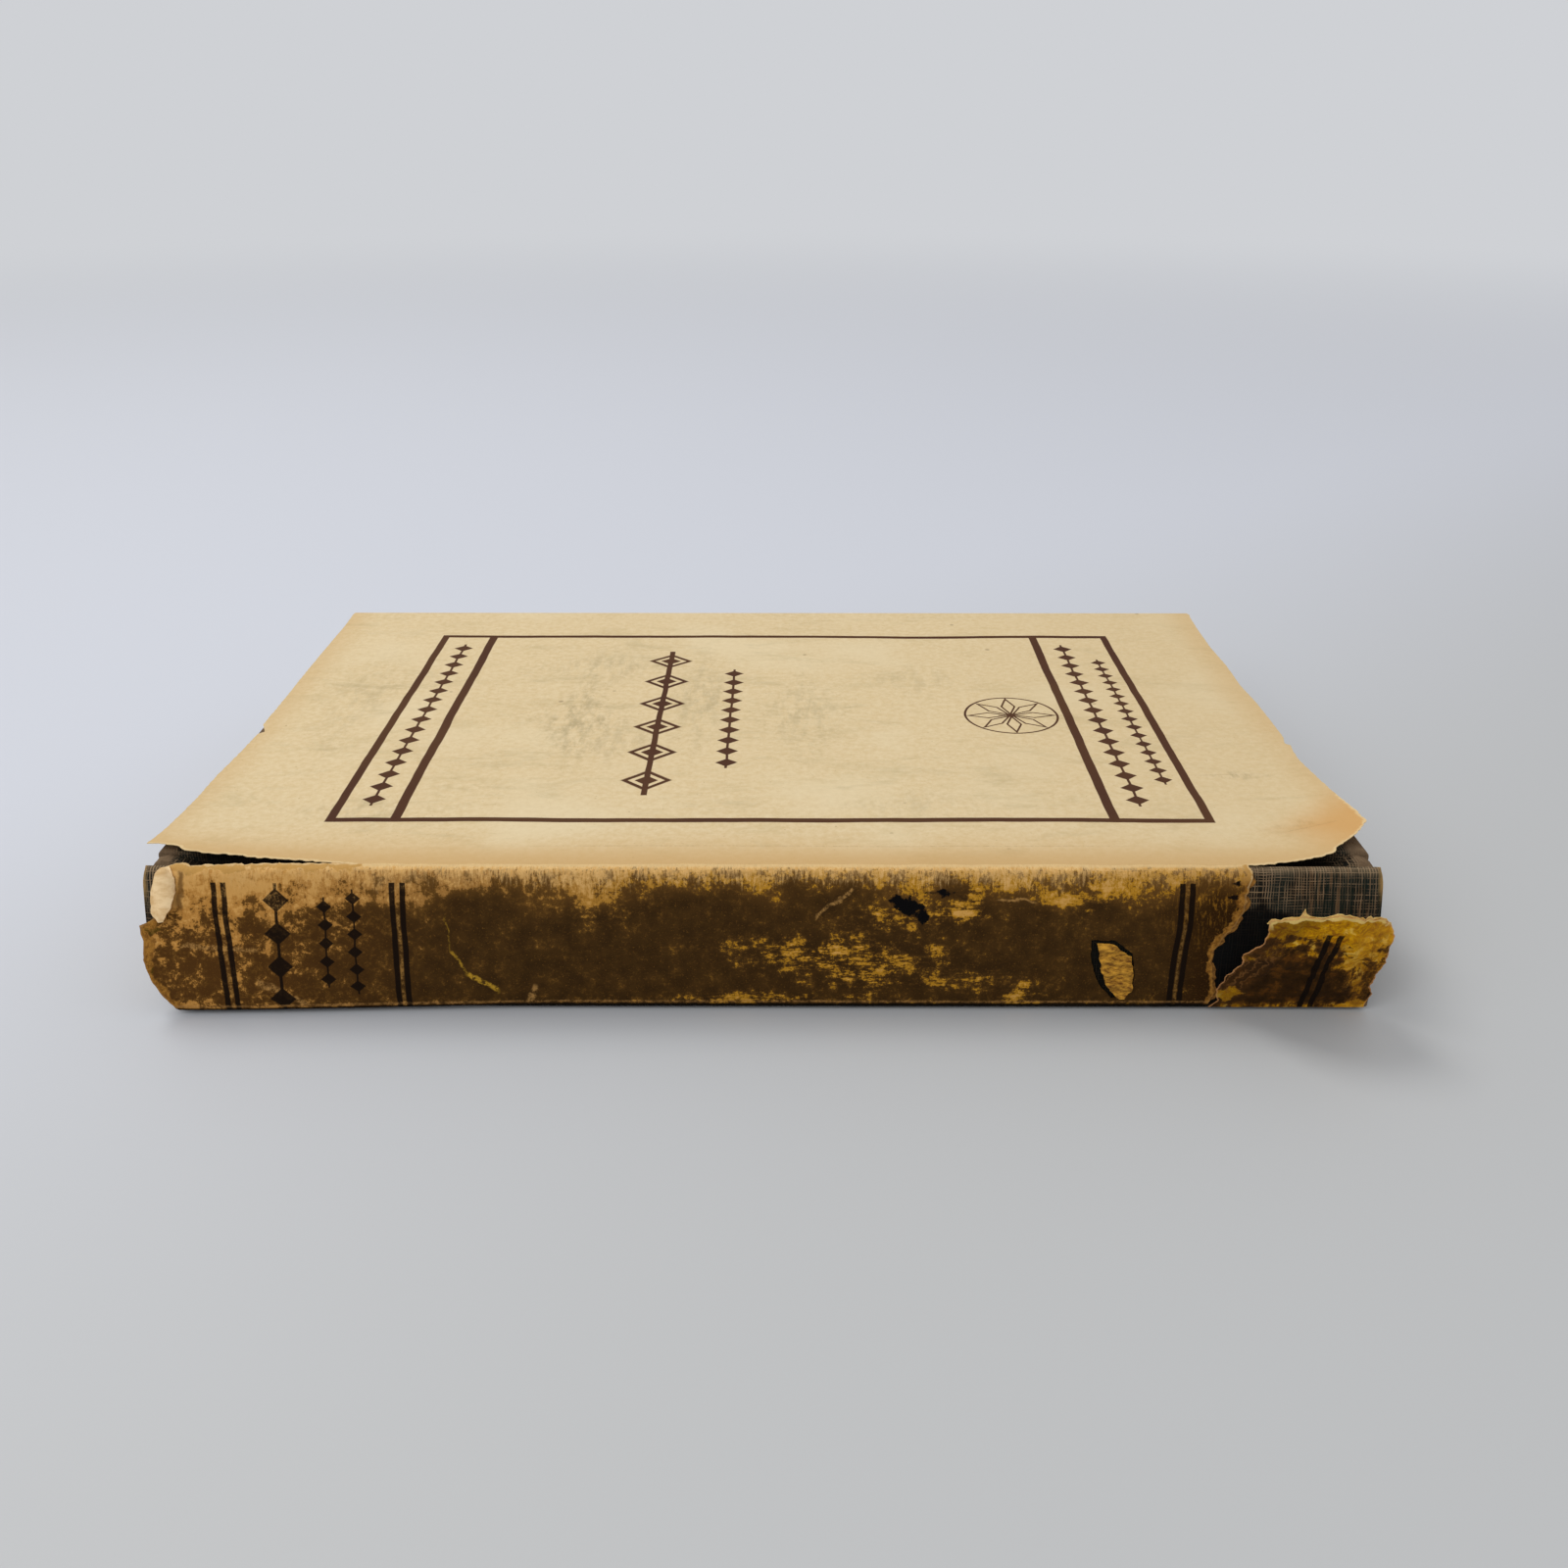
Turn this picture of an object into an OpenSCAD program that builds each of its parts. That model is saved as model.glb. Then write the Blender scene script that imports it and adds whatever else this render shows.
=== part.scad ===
// Old cloth-bound hardcover book in a torn paper jacket, lying on its back cover.
// +X runs along the spine from the head to the tail, +Y from the spine to the fore edge, +Z up.
// The origin is the middle of the back panel's outer face.

/* [Case] */
// Height of a cloth-covered board, along the spine
case_l = 190; // [150:1:240]
// Depth of a board, from its joint to its fore edge
board_d = 117.2; // [90:0.1:160]
// Thickness of a board
board_t = 2.1; // [1.5:0.1:3.5]
// Thickness of the cover cloth
cloth_t = 0.4; // [0.25:0.05:0.6]
// Distance from the spine's fold to a board
joint_w = 6.5; // [5:0.1:10]
// Width of the ridge beside the joint
ridge_w = 1.6; // [1.4:0.1:2.5]
// Width of the cloth turned in round a board's edges
turn_in = 14; // [8:1:25]

/* [Pages] */
// Thickness of the sewn pages
pages_t = 15.6; // [8:0.1:45]
// Width of a page
page_w = 120.6; // [90:0.1:165]
// Distance that a board stands past the pages at head and tail
square_w = 3; // [1:0.5:5]
// Thickness of an endpaper
leaf_t = 0.15; // [0.1:0.05:0.3]

/* [Spine] */
// How far the bottom of the leaning spine stands out past the top
spine_lean = 3.3; // [0:0.1:5]
// How far the rounded spine bulges
spine_round = 1.2; // [0:0.1:3]
// Thickness of the card strip inside the cloth spine
inlay_t = 0.5; // [0.3:0.05:0.7]
// Width of the hollow behind the pages' back
hollow_w = 0.3; // [0.2:0.05:0.8]
// Thickness of the paper lining on the pages' back
lining_t = 0.2; // [0.1:0.05:0.4]
// Thickness of the gauze on the pages' back
gauze_t = 0.15; // [0.1:0.05:0.3]

/* [Jacket] */
// Thickness of the jacket's paper
paper_t = 0.25; // [0.15:0.05:0.4]
// How far the boards stand past the jacket at head and tail
jacket_short = 0.2; // [0:0.1:2]
// Width of a jacket flap inside a cover
flap_w = 72; // [40:1:85]
// Length of the tear along the top fold, from the head
head_tear_l = 32; // [10:1:60]
// Angle at which the corner beside the head tear lifts
head_lift = 2.2; // [0.5:0.1:3]
// Length of the spine's torn piece, from the tail
tail_tear_l = 20; // [15:1:40]
// How far the spine's tear slants from its top to its foot
tear_slant = 5; // [3:0.5:8]
// Angle at which the corner above the torn piece lifts
tail_lift = 7; // [1:0.5:9]
// Angle at which the torn piece leans out from the spine
tail_lean = 20; // [5:1:25]

/* [Print] */
// Thickness of the printed ink
ink_t = 0.05; // [0.03:0.01:0.1]
// Distance from the jacket's head edge to the ruled frame
frame_head = 23.25; // [12:0.05:40]
// Distance from the jacket's tail edge to the ruled frame
frame_tail = 21.35; // [12:0.05:40]
// Distance from the spine's fold to the ruled frame
frame_inset = 15.6; // [8:0.1:25]
// Distance from the fore edge to the ruled frame
frame_fore = 16.75; // [8:0.05:30]
// Width of the frame's rules
rule_w = 1.5; // [0.8:0.1:2.5]
// Distance from the frame's head to its first cross bar
head_band = 12; // [8:0.5:25]
// Distance from the frame's tail to its second cross bar
tail_band = 17; // [8:0.5:25]
// Width of one rule of a spine's pair
pair_rule_w = 0.75; // [0.4:0.05:1.2]
// Distance between the two rules of a pair
pair_pitch = 1.55; // [1.2:0.05:3]
// Distance from the jacket's head edge to the first pair
first_pair = 10.7; // [6:0.1:20]
// Distance from the jacket's head edge to the second pair
second_pair = 38.8; // [25:0.1:60]
// Distance from the jacket's tail edge to the third pair
third_pair = 30.4; // [26:0.1:50]
// Distance from the jacket's tail edge to the pair on the torn piece
torn_pair = 8.8; // [6:0.1:12]
// Width of the ornament in the large title place
title_w = 9; // [4:0.5:14]
// Length of the ornament in the large title place
title_l = 71; // [30:1:85]
// Distance from the first cross bar to the large title place
title_inset = 39; // [20:0.5:60]
// Width of the small ornaments
small_w = 4; // [2:0.5:6]
// Length of the ornaments in the two bands
band_l = 80; // [40:1:85]
// Width of the rosette beside the second cross bar
rosette_w = 18; // [10:0.5:24]

/* [Hinges] */
// Gap that parts a cover's pieces from the book's block
hinge_gap = 0.4; // [0.3:0.05:0.6]
// Gap between a closed cover and the pages
cover_gap = 0.1; // [0.05:0.05:0.3]

/* [Hidden] */

// Depths below a cover's outer face, layer by layer
cloth_w = paper_t;
board_w = cloth_w + cloth_t;
inner_w = board_w + board_t;
paste_w = inner_w + cloth_t;
flap_face_w = paste_w + leaf_t;
cover_t = flap_face_w + paper_t;

// Heights and depths of the whole book
leaf_z = cover_t + cover_gap;
pages_z = leaf_z + leaf_t;
book_t = 2 * pages_z + pages_t;
board_end = joint_w + board_d;
case_end = board_end + cloth_t;
cover_d = case_end + paper_t;
fold_y = spine_lean - cover_d / 2;
page_l = case_l - 2 * square_w;
jacket_l = case_l - 2 * jacket_short;

// Layers of the spine, counted inward from the jacket's face
inlay_in = paper_t + cloth_t;
hollow_in = inlay_in + inlay_t;
lining_in = hollow_in + hollow_w;
gauze_in = lining_in + lining_t;
pages_in = gauze_in + gauze_t;

// Where the back cover's share of the spine ends and the block's begins
split_gap = 0.3;
back_split = cover_t - split_gap / 3;
block_split = back_split + split_gap;
front_start = ridge_w + hinge_gap;
lip_l = board_t;

PROFILE_STEPS = 16;
FAR = 400;
THROUGH = 10;
BODY = "#8a6a3c";
BUFF = "#dccb9e";
CLOTH = "#5c5d50";
INK = "#4f3224";
CARD = "#a08c6c";
CREAM = "#e6dcc0";

// Outward lean and bulge of the jacket's spine at height z, from the top fold's plane
function spine_y(z) =
    let (u = 1 - z / book_t)
    -(spine_lean * u + 4 * spine_round * u * (1 - u));

function steps(low, high, count) = [for (i = [0 : count]) low + (high - low) * i / count];

function reversed(list) = [for (i = [len(list) - 1 : -1 : 0]) list[i]];

// Turns a section drawn in Y and Z into a solid of that length along X
module along_x(length, middle = 0) {
    translate([middle - length / 2, fold_y, 0])
    rotate([90, 0, 90])
    linear_extrude(length)
    children();
}

// Points up one face of a spine layer, at a depth below the jacket's face
function face_points(depth, low, high) = [
    for (z = steps(low, high, PROFILE_STEPS)) [spine_y(z) + depth, z]
];

// Section of a spine layer between two depths and two heights
module layer_section(outer, inner, low, high) {
    polygon(concat(face_points(outer, low, high), reversed(face_points(inner, low, high))));
}

// An outline drawn in X and Z, as a cutter that runs through the spine along Y
module through_spine() {
    rotate([90, 0, 0])
    translate([0, 0, -FAR / 2])
    linear_extrude(FAR)
    children();
}

// Puts a cover drawn from its outer face inward where the front or the back cover lies
module front_side() {
    translate([0, fold_y, book_t])
    mirror([0, 0, 1])
    children();
}

module back_side() {
    translate([0, fold_y - spine_lean, 0])
    children();
}

// A block between two corners
module slab(x0, x1, y0, y1, w0, w1) {
    translate([x0, y0, w0])
    cube([x1 - x0, y1 - y0, w1 - w0]);
}

module centred_slab(length, y0, y1, w0, w1) {
    slab(-length / 2, length / 2, y0, y1, w0, w1);
}

// Pages
function page_back(z) = spine_y(z) + pages_in;

module text_block() {
    zs = steps(pages_z, pages_z + pages_t, PROFILE_STEPS);
    color(CREAM)
    along_x(page_l)
    polygon(concat([for (z = zs) [page_back(z), z]],
                   [for (z = reversed(zs)) [page_back(z) + page_w, z]]));
}

module flyleaf(z, level) {
    color(CREAM)
    translate([0, fold_y, 0])
    centred_slab(page_l, page_back(level), page_back(level) + page_w, z, z + leaf_t);
}

module front_flyleaf() {
    flyleaf(pages_z + pages_t, pages_z + pages_t);
}

module back_flyleaf() {
    flyleaf(leaf_z, pages_z);
}

// Layers behind the pages
module back_layer(outer, inner) {
    along_x(page_l)
    layer_section(outer, inner, pages_z, pages_z + pages_t);
}

module spine_gauze() {
    color("#d8d2bd")
    back_layer(gauze_in, pages_in);
}

module spine_lining() {
    color("#b49a6e")
    back_layer(lining_in, gauze_in);
}

module spine_inlay() {
    color(CARD)
    along_x(case_l - 2 * cloth_t)
    layer_section(inlay_in, hollow_in, block_split, book_t - inlay_in);
}

// Cloth over the spine, with the ridge beside the front joint and the lip that goes down in it
module spine_cloth() {
    top = book_t - paper_t;
    color(CLOTH)
    along_x(case_l)
    polygon(concat(
        face_points(paper_t, block_split, top),
        [[ridge_w, top], [ridge_w, top - lip_l], [ridge_w - cloth_t, top - lip_l],
         [ridge_w - cloth_t, top - cloth_t]],
        reversed(face_points(inlay_in, block_split, top - cloth_t))
    ));
}

// Jacket spine: its outline in X and Z is torn at both ends
tear_x = jacket_l / 2 - tail_tear_l;
head_x = -jacket_l / 2;

// The tear's shape from the bottom up: shares of its slant and of the spine's height
TEAR_SHAPE = [
    [0, -0.2], [0.1, 0.03], [0.08, 0.14], [-0.12, 0.34], [0.04, 0.43], [0.38, 0.54],
    [0.76, 0.67], [0.88, 0.8], [0.92, 0.93], [1.04, 1.7]
];

function tear_edge() = [
    for (p = TEAR_SHAPE) [tear_x - tear_slant * (1 - p[0]), book_t * p[1]]
];

// The worn head edge from the top down: distances in from the edge, shares of the height
HEAD_SHAPE = [
    [2.8, 1.7], [2.8, 1.02], [1.8, 0.68], [-0.4, 0.65], [-0.6, 0.52], [0, 0.3], [0.6, 0.13],
    [2.2, 0], [2.2, -0.2]
];

function head_edge() = [for (p = HEAD_SHAPE) [head_x + p[0], book_t * p[1]]];

module jacket_spine() {
    color(BODY)
    intersection() {
        along_x(case_l + THROUGH)
        polygon(concat(
            face_points(0, block_split, book_t),
            [[ridge_w, book_t], [ridge_w, book_t - paper_t]],
            reversed(face_points(paper_t, block_split, book_t - paper_t))
        ));
        through_spine()
        polygon(concat(tear_edge(), head_edge()));
    }
}

// Torn piece of the spine at the tail: it hangs on the bottom fold and leans out
// The piece's shape in shares of its length and of the spine's height
PIECE_SHAPE = [
    [0.03, 0], [0.05, 0.19], [0.1, 0.3], [0.14, 0.39], [0.18, 0.52], [0.24, 0.65],
    [0.26, 0.75], [0.25, 0.92], [0.36, 0.95], [0.47, 0.96], [0.49, 1.03], [0.54, 0.98],
    [0.75, 1], [0.9, 0.95], [0.98, 0.91], [1.04, 0.8], [1.03, 0.6], [1.02, 0.43],
    [0.96, 0.22], [1, 0.13], [0.98, 0]
];

function tail_piece_points() =
    let (piece_l = tail_tear_l + tear_slant)
    [for (p = PIECE_SHAPE) [jacket_l / 2 - piece_l * (1 - p[0]), book_t * p[1]]];

module tail_piece_plane() {
    translate([0, fold_y + spine_y(block_split), block_split])
    rotate([90 + tail_lean, 0, 0])
    children();
}

module jacket_tail_piece() {
    color(BODY)
    tail_piece_plane()
    translate([0, 0, -paper_t])
    linear_extrude(paper_t)
    intersection() {
        translate([0, -block_split / cos(tail_lean)])
        polygon(tail_piece_points());
        translate([-FAR / 2, 0])
        square([FAR, FAR / 2]);
    }
}

// Pairs of rules printed across the spine, with ornaments between the first two
pair_places = [head_x + first_pair, head_x + second_pair, jacket_l / 2 - third_pair];
pair_high = 0.9 * book_t;
torn_pair_high = 0.61 * book_t;
BEAD_PITCH = 1.25;
BEAD_LENGTH = 0.7;
THREAD_WIDTH = 0.12;

// A rule along Y with a row of lozenges strung on it
module beaded_rule(x, y0, y1, width) {
    count = max(1, round((y1 - y0) / (width * BEAD_PITCH)));
    pitch = (y1 - y0) / count;
    bead = pitch * BEAD_LENGTH;
    thread = width * THREAD_WIDTH;
    union() {
        translate([x - thread / 2, y0])
        square([thread, y1 - y0]);
        for (i = [0 : count - 1])
        translate([x, y0 + (i + 0.5) * pitch])
        polygon([[-width / 2, 0], [0, -bead / 2], [width / 2, 0], [0, bead / 2]]);
    }
}

module rule_pair(place, high) {
    for (side = [-1, 1])
    translate([place + side * pair_pitch / 2 - pair_rule_w / 2, 0])
    square([pair_rule_w, high]);
}

module spine_print() {
    color(INK)
    intersection() {
        along_x(case_l)
        layer_section(-ink_t, 0, block_split, book_t);
        through_spine()
        union() {
            for (place = pair_places)
            rule_pair(place, pair_high);
            beaded_rule((2 * pair_places[0] + pair_places[1]) / 3, 0, pair_high, small_w);
        }
    }
}

module tail_piece_print() {
    color(INK)
    tail_piece_plane()
    linear_extrude(ink_t)
    rule_pair(jacket_l / 2 - torn_pair, torn_pair_high);
}

// Covers, drawn from the outer face inward
module board() {
    color(CARD)
    centred_slab(case_l - 2 * cloth_t, joint_w, board_end, board_w, inner_w);
}

module cover_cloth() {
    centred_slab(case_l, front_start, joint_w, inner_w - cloth_t, inner_w);
    difference() {
        centred_slab(case_l, joint_w - cloth_t, case_end, cloth_w, paste_w);
        centred_slab(case_l - 2 * cloth_t, joint_w, board_end, board_w, inner_w);
        turn_in_window(0);
    }
}

// Space inside the turned-in cloth, open towards the joint
module turn_in_window(inset) {
    centred_slab(case_l - 2 * turn_in - 2 * inset, 0, case_end - turn_in - inset, inner_w, cover_t);
}

module pastedown() {
    color(CREAM)
    difference() {
        centred_slab(page_l, front_start, case_end - square_w, inner_w, flap_face_w);
        difference() {
            centred_slab(case_l, 0, case_end, inner_w, paste_w);
            turn_in_window(0);
        }
        intersection() {
            turn_in_window(leaf_t);
            centred_slab(case_l, 0, case_end, inner_w + leaf_t, cover_t);
        }
    }
}

// Paper round the fore edge and the flap inside the cover
flap_short = 2.4;

module jacket_fore_edge() {
    centred_slab(jacket_l - 2 * flap_short, case_end, cover_d, 0, cover_t);
    centred_slab(jacket_l - 2 * flap_short, cover_d - flap_w, cover_d, flap_face_w, cover_t);
}

module front_board() {
    front_side()
    board();
}

module front_cloth() {
    color(CLOTH)
    front_side()
    cover_cloth();
}

module front_pastedown() {
    front_side()
    pastedown();
}

// The ruled frame's sides, and its clearance from the creases
frame_x0 = head_x + frame_head;
frame_x1 = jacket_l / 2 - frame_tail;
frame_y1 = cover_d - frame_fore;
frame_middle = (frame_inset + frame_y1) / 2;
frame_clear = 0.6;
crease_gap = 3.5;
rosette_line = 0.45;
rosette_gap = 1;

// Ornaments as shares: the small row beside the title place, and the tail band's two rows
SUB_PLACE = 1.5;
SUB_LENGTH = 0.7;
ROW_1_PLACE = 0.36;
ROW_2_PLACE = 0.72;
ROW_2_LENGTH = 0.78;
ROW_2_WIDTH = 0.8;

// Outline of the front panel: torn along the fold at the head, a chip gone at the tail corner.
// Along a tear: shares of its length and of the panel's depth. Along a side: how far the edge
// stands out and the share of the depth.
HEAD_TEAR_SHAPE = [[1, 0], [0.63, 0.003], [0.34, 0.008], [0.13, 0.015]];
HEAD_SIDE_SHAPE = [
    [-2.6, 0.028], [1.4, 0.034], [0.9, 0.082], [0.8, 0.23], [0.3, 0.37], [-0.5, 0.376],
    [0.1, 0.384], [0, 0.967], [-1, 0.993], [-2.4, 1]
];
TAIL_SIDE_SHAPE = [
    [-2.2, 1], [-0.6, 0.987], [0, 0.943], [0.3, 0.35], [1.2, 0.19], [1.4, 0.085], [-0.6, 0.062],
    [-3.2, 0.034], [-3.8, 0.025]
];
TAIL_TEAR_SHAPE = [[0.55, 0.0114], [0.8, 0.005], [1, 0]];

function panel_y(share) = front_start + share * (cover_d - front_start);

function front_panel_points() = concat(
    [for (p = HEAD_TEAR_SHAPE) [head_x + head_tear_l * p[0], panel_y(p[1])]],
    [for (p = HEAD_SIDE_SHAPE) [head_x - p[0], panel_y(p[1])]],
    [for (p = TAIL_SIDE_SHAPE) [jacket_l / 2 + p[0], panel_y(p[1])]],
    [for (p = TAIL_TEAR_SHAPE) [jacket_l / 2 - tail_tear_l * p[0], panel_y(p[1])]]
);

module front_panel() {
    linear_extrude(paper_t)
    polygon(front_panel_points());
}

// Creases beside which the panel's corners lift: each runs from beside its tear past the frame
head_crease = [[head_x + head_tear_l + crease_gap, 1],
               [frame_x0 - frame_clear, frame_inset]];
tail_crease = [[jacket_l / 2 - tail_tear_l - crease_gap, 1],
               [frame_x1 + crease_gap + frame_clear, frame_inset]];

crease_step = 0.1;
crease_lap = 0.3;

function crease_angle(crease) = atan2(crease[1][1] - crease[0][1], crease[1][0] - crease[0][0]);

// The space on a crease's corner side, which is its left for side = 1, from a distance past it
module corner_half(crease, side, past) {
    translate([crease[0][0], crease[0][1], -THROUGH / 2])
    rotate(crease_angle(crease))
    translate([-FAR / 2, side > 0 ? past : -FAR / 2 - past, 0])
    cube([FAR, FAR / 2, THROUGH]);
}

// Raises a corner outward, away from the board, the more the further it is from its crease
module lifted(crease, side, angle) {
    rise = side * tan(angle);
    across = [-sin(crease_angle(crease)), cos(crease_angle(crease))];
    multmatrix([
        [1, 0, 0, 0],
        [0, 1, 0, 0],
        [-rise * across[0], -rise * across[1], 1, rise * (across * crease[0]) - crease_step],
        [0, 0, 0, 1]
    ])
    children();
}

module lifted_corner(crease, side, angle) {
    lifted(crease, side, angle)
    intersection() {
        front_panel();
        corner_half(crease, side, 0);
    }
}

module jacket_front() {
    color(BUFF)
    front_side()
    union() {
        difference() {
            front_panel();
            corner_half(head_crease, 1, crease_lap);
            corner_half(tail_crease, -1, crease_lap);
        }
        lifted_corner(head_crease, 1, head_lift);
        lifted_corner(tail_crease, -1, tail_lift);
        jacket_fore_edge();
    }
}

// Eight outlined petals in a ring
module rosette(width, line) {
    petal_l = width / 2 - line / 2;
    petal_w = width / 6;
    difference() {
        circle(d = width, $fn = 48);
        circle(d = width - 2 * line, $fn = 48);
    }
    circle(d = 4 * line, $fn = 12);
    for (angle = [0 : 45 : 315])
    rotate(angle)
    difference() {
        polygon([[0, 0], [petal_l / 2, -petal_w / 2], [petal_l, 0], [petal_l / 2, petal_w / 2]]);
        polygon([[2 * line, 0], [petal_l / 2, line - petal_w / 2], [petal_l - 2 * line, 0],
                 [petal_l / 2, petal_w / 2 - line]]);
    }
}

// Ruled frame with two cross bars on the front panel, and plain ornaments inside it
module frame_outline() {
    frame_d = frame_y1 - frame_inset;
    difference() {
        translate([frame_x0, frame_inset])
        square([frame_x1 - frame_x0, frame_d]);
        translate([frame_x0 + rule_w, frame_inset + rule_w])
        square([frame_x1 - frame_x0 - 2 * rule_w, frame_d - 2 * rule_w]);
    }
    translate([frame_x0 + head_band - rule_w, frame_inset])
    square([rule_w, frame_d]);
    translate([frame_x1 - tail_band, frame_inset])
    square([rule_w, frame_d]);
}

// An ornament along the frame's middle line
module middle_rule(x, length, width) {
    beaded_rule(x, frame_middle - length / 2, frame_middle + length / 2, width);
}

module front_print() {
    bar_x0 = frame_x0 + head_band;
    bar_x1 = frame_x1 - tail_band;
    title_x = bar_x0 + title_inset;
    color(INK)
    front_side()
    translate([0, 0, -ink_t])
    linear_extrude(ink_t)
    union() {
        frame_outline();
        middle_rule(frame_x0 + head_band / 2, band_l, small_w);
        middle_rule(title_x, title_l, title_w);
        middle_rule(title_x + SUB_PLACE * title_w, SUB_LENGTH * title_l, small_w);
        middle_rule(bar_x1 + ROW_1_PLACE * tail_band, band_l, small_w);
        middle_rule(bar_x1 + ROW_2_PLACE * tail_band, ROW_2_LENGTH * band_l, ROW_2_WIDTH * small_w);
        translate([bar_x1 - rosette_w / 2 - rosette_gap, frame_middle])
        rosette(rosette_w, rosette_line);
    }
}

module back_board() {
    back_side()
    board();
}

// The back cover keeps its ridge and the foot of the spine
module back_cloth() {
    foot = spine_lean;
    color(CLOTH)
    union() {
        back_side()
        cover_cloth();
        along_x(case_l)
        polygon(concat(
            reversed(face_points(paper_t, paper_t, back_split)),
            [[ridge_w - foot, paper_t], [ridge_w - foot, inner_w - cloth_t],
             [front_start + cloth_t - foot, inner_w - cloth_t],
             [front_start + cloth_t - foot, inner_w], [ridge_w - cloth_t - foot, inner_w],
             [ridge_w - cloth_t - foot, board_w]],
            face_points(inlay_in, board_w, back_split)
        ));
    }
}

module back_pastedown() {
    back_side()
    pastedown();
}

foot_wear = 2.2;
edge_wear = 0.5;
corner_wear = 3;

module jacket_back() {
    color(BUFF)
    union() {
        back_side()
        union() {
            linear_extrude(paper_t)
            polygon([[head_x + foot_wear, 0], [head_x + edge_wear, corner_wear],
                     [head_x, cover_d - corner_wear], [head_x + foot_wear, cover_d],
                     [jacket_l / 2 - foot_wear, cover_d], [jacket_l / 2, cover_d - corner_wear],
                     [jacket_l / 2, corner_wear], [jacket_l / 2 - edge_wear, 0]]);
            jacket_fore_edge();
        }
        intersection() {
            along_x(case_l + THROUGH)
            layer_section(0, paper_t, 0, back_split);
            through_spine()
            polygon([[head_x + foot_wear, -1], [head_x + edge_wear, back_split + 1],
                     [jacket_l / 2 - edge_wear, back_split + 1], [jacket_l / 2 - edge_wear, -1]]);
        }
    }
}

text_block();
front_flyleaf();
back_flyleaf();
spine_gauze();
spine_lining();
spine_inlay();
spine_cloth();
jacket_spine();
jacket_tail_piece();
spine_print();
tail_piece_print();
front_board();
front_cloth();
front_pastedown();
jacket_front();
front_print();
back_board();
back_cloth();
back_pastedown();
jacket_back();
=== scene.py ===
"""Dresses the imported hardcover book: an old cloth-bound book lying in a torn paper jacket."""

import math

import bpy
import numpy as np
from bpy.props import FloatProperty, FloatVectorProperty, PointerProperty
from bpy.types import Operator, Panel, PropertyGroup, Scene
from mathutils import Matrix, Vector, geometry


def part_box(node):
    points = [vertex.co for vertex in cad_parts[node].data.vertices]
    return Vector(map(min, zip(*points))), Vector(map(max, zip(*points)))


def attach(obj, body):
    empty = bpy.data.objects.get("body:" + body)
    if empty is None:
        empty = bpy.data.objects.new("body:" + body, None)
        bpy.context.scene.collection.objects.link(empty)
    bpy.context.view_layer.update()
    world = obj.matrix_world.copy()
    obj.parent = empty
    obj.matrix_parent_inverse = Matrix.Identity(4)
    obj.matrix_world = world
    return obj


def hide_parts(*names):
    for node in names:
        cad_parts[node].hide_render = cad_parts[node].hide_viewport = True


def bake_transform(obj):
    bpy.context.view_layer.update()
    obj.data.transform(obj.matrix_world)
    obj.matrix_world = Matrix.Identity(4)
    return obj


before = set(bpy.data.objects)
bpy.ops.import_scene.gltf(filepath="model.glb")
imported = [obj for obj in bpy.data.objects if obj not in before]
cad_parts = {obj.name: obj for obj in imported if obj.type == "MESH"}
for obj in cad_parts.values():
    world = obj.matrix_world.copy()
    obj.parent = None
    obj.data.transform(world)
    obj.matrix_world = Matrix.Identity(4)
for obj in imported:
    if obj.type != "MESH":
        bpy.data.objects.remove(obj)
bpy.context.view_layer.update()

bl_info = {
    "name": "Old hardcover book",
    "version": (1, 0, 0),
    "blender": (4, 5, 0),
    "location": "View3D > Sidebar > Old book",
    "description": "Builds a worn cloth-bound book in a torn paper jacket around its packed frame",
    "category": "Object",
}

MM = 0.001
SPINE_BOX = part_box("jacket_spine")
TOP = SPINE_BOX[1].z / MM
RIDGE_W = 1.6
FOLD_Y = SPINE_BOX[1].y / MM - RIDGE_W
FRONT_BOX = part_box("jacket_front")
COVER_D = FRONT_BOX[1].y / MM - FOLD_Y
PAGES_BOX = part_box("text_block")
CASE_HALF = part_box("spine_cloth")[1].x / MM
PAGES_D = 120.6
PAGE_LEVELS = 120


def srgb(red, green, blue):
    """A colour of 0 to 255 per channel, as the linear colour that Blender stores."""
    return tuple(
        c / 12.92 if c <= 0.04045 else ((c + 0.055) / 1.055) ** 2.4
        for c in (red / 255, green / 255, blue / 255)
    )


def colour(name, description, value):
    """A colour setting of the add-on."""
    return FloatVectorProperty(
        name=name, description=description, subtype="COLOR", size=3, min=0, max=1, default=value
    )


def length(name, description, value):
    """A length setting of the add-on, in millimetres."""
    return FloatProperty(name=name, description=description, default=value, min=0)


class OldBookSizes(PropertyGroup):
    """Sizes of the visual pieces, in millimetres"""

    spine_lean: length("Spine lean", "How far the spine's foot stands out past its top", 3.3)
    spine_round: length("Spine round", "How far the rounded spine bulges", 1.2)
    paper: length("Jacket paper", "Thickness of the jacket's paper", 0.25)
    cloth: length("Cloth", "Thickness of the cover cloth", 0.4)
    cover: length("Cover", "Thickness of a cover with its jacket and flap", 3.55)
    flap: length("Flap", "Width of a jacket flap", 72)
    tail_lift: length("Tail corner lift", "Lift of the tail corner at its tip", 2.1)
    head_lift: length("Head corner lift", "Lift of the head corner at its tip", 1.3)


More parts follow.
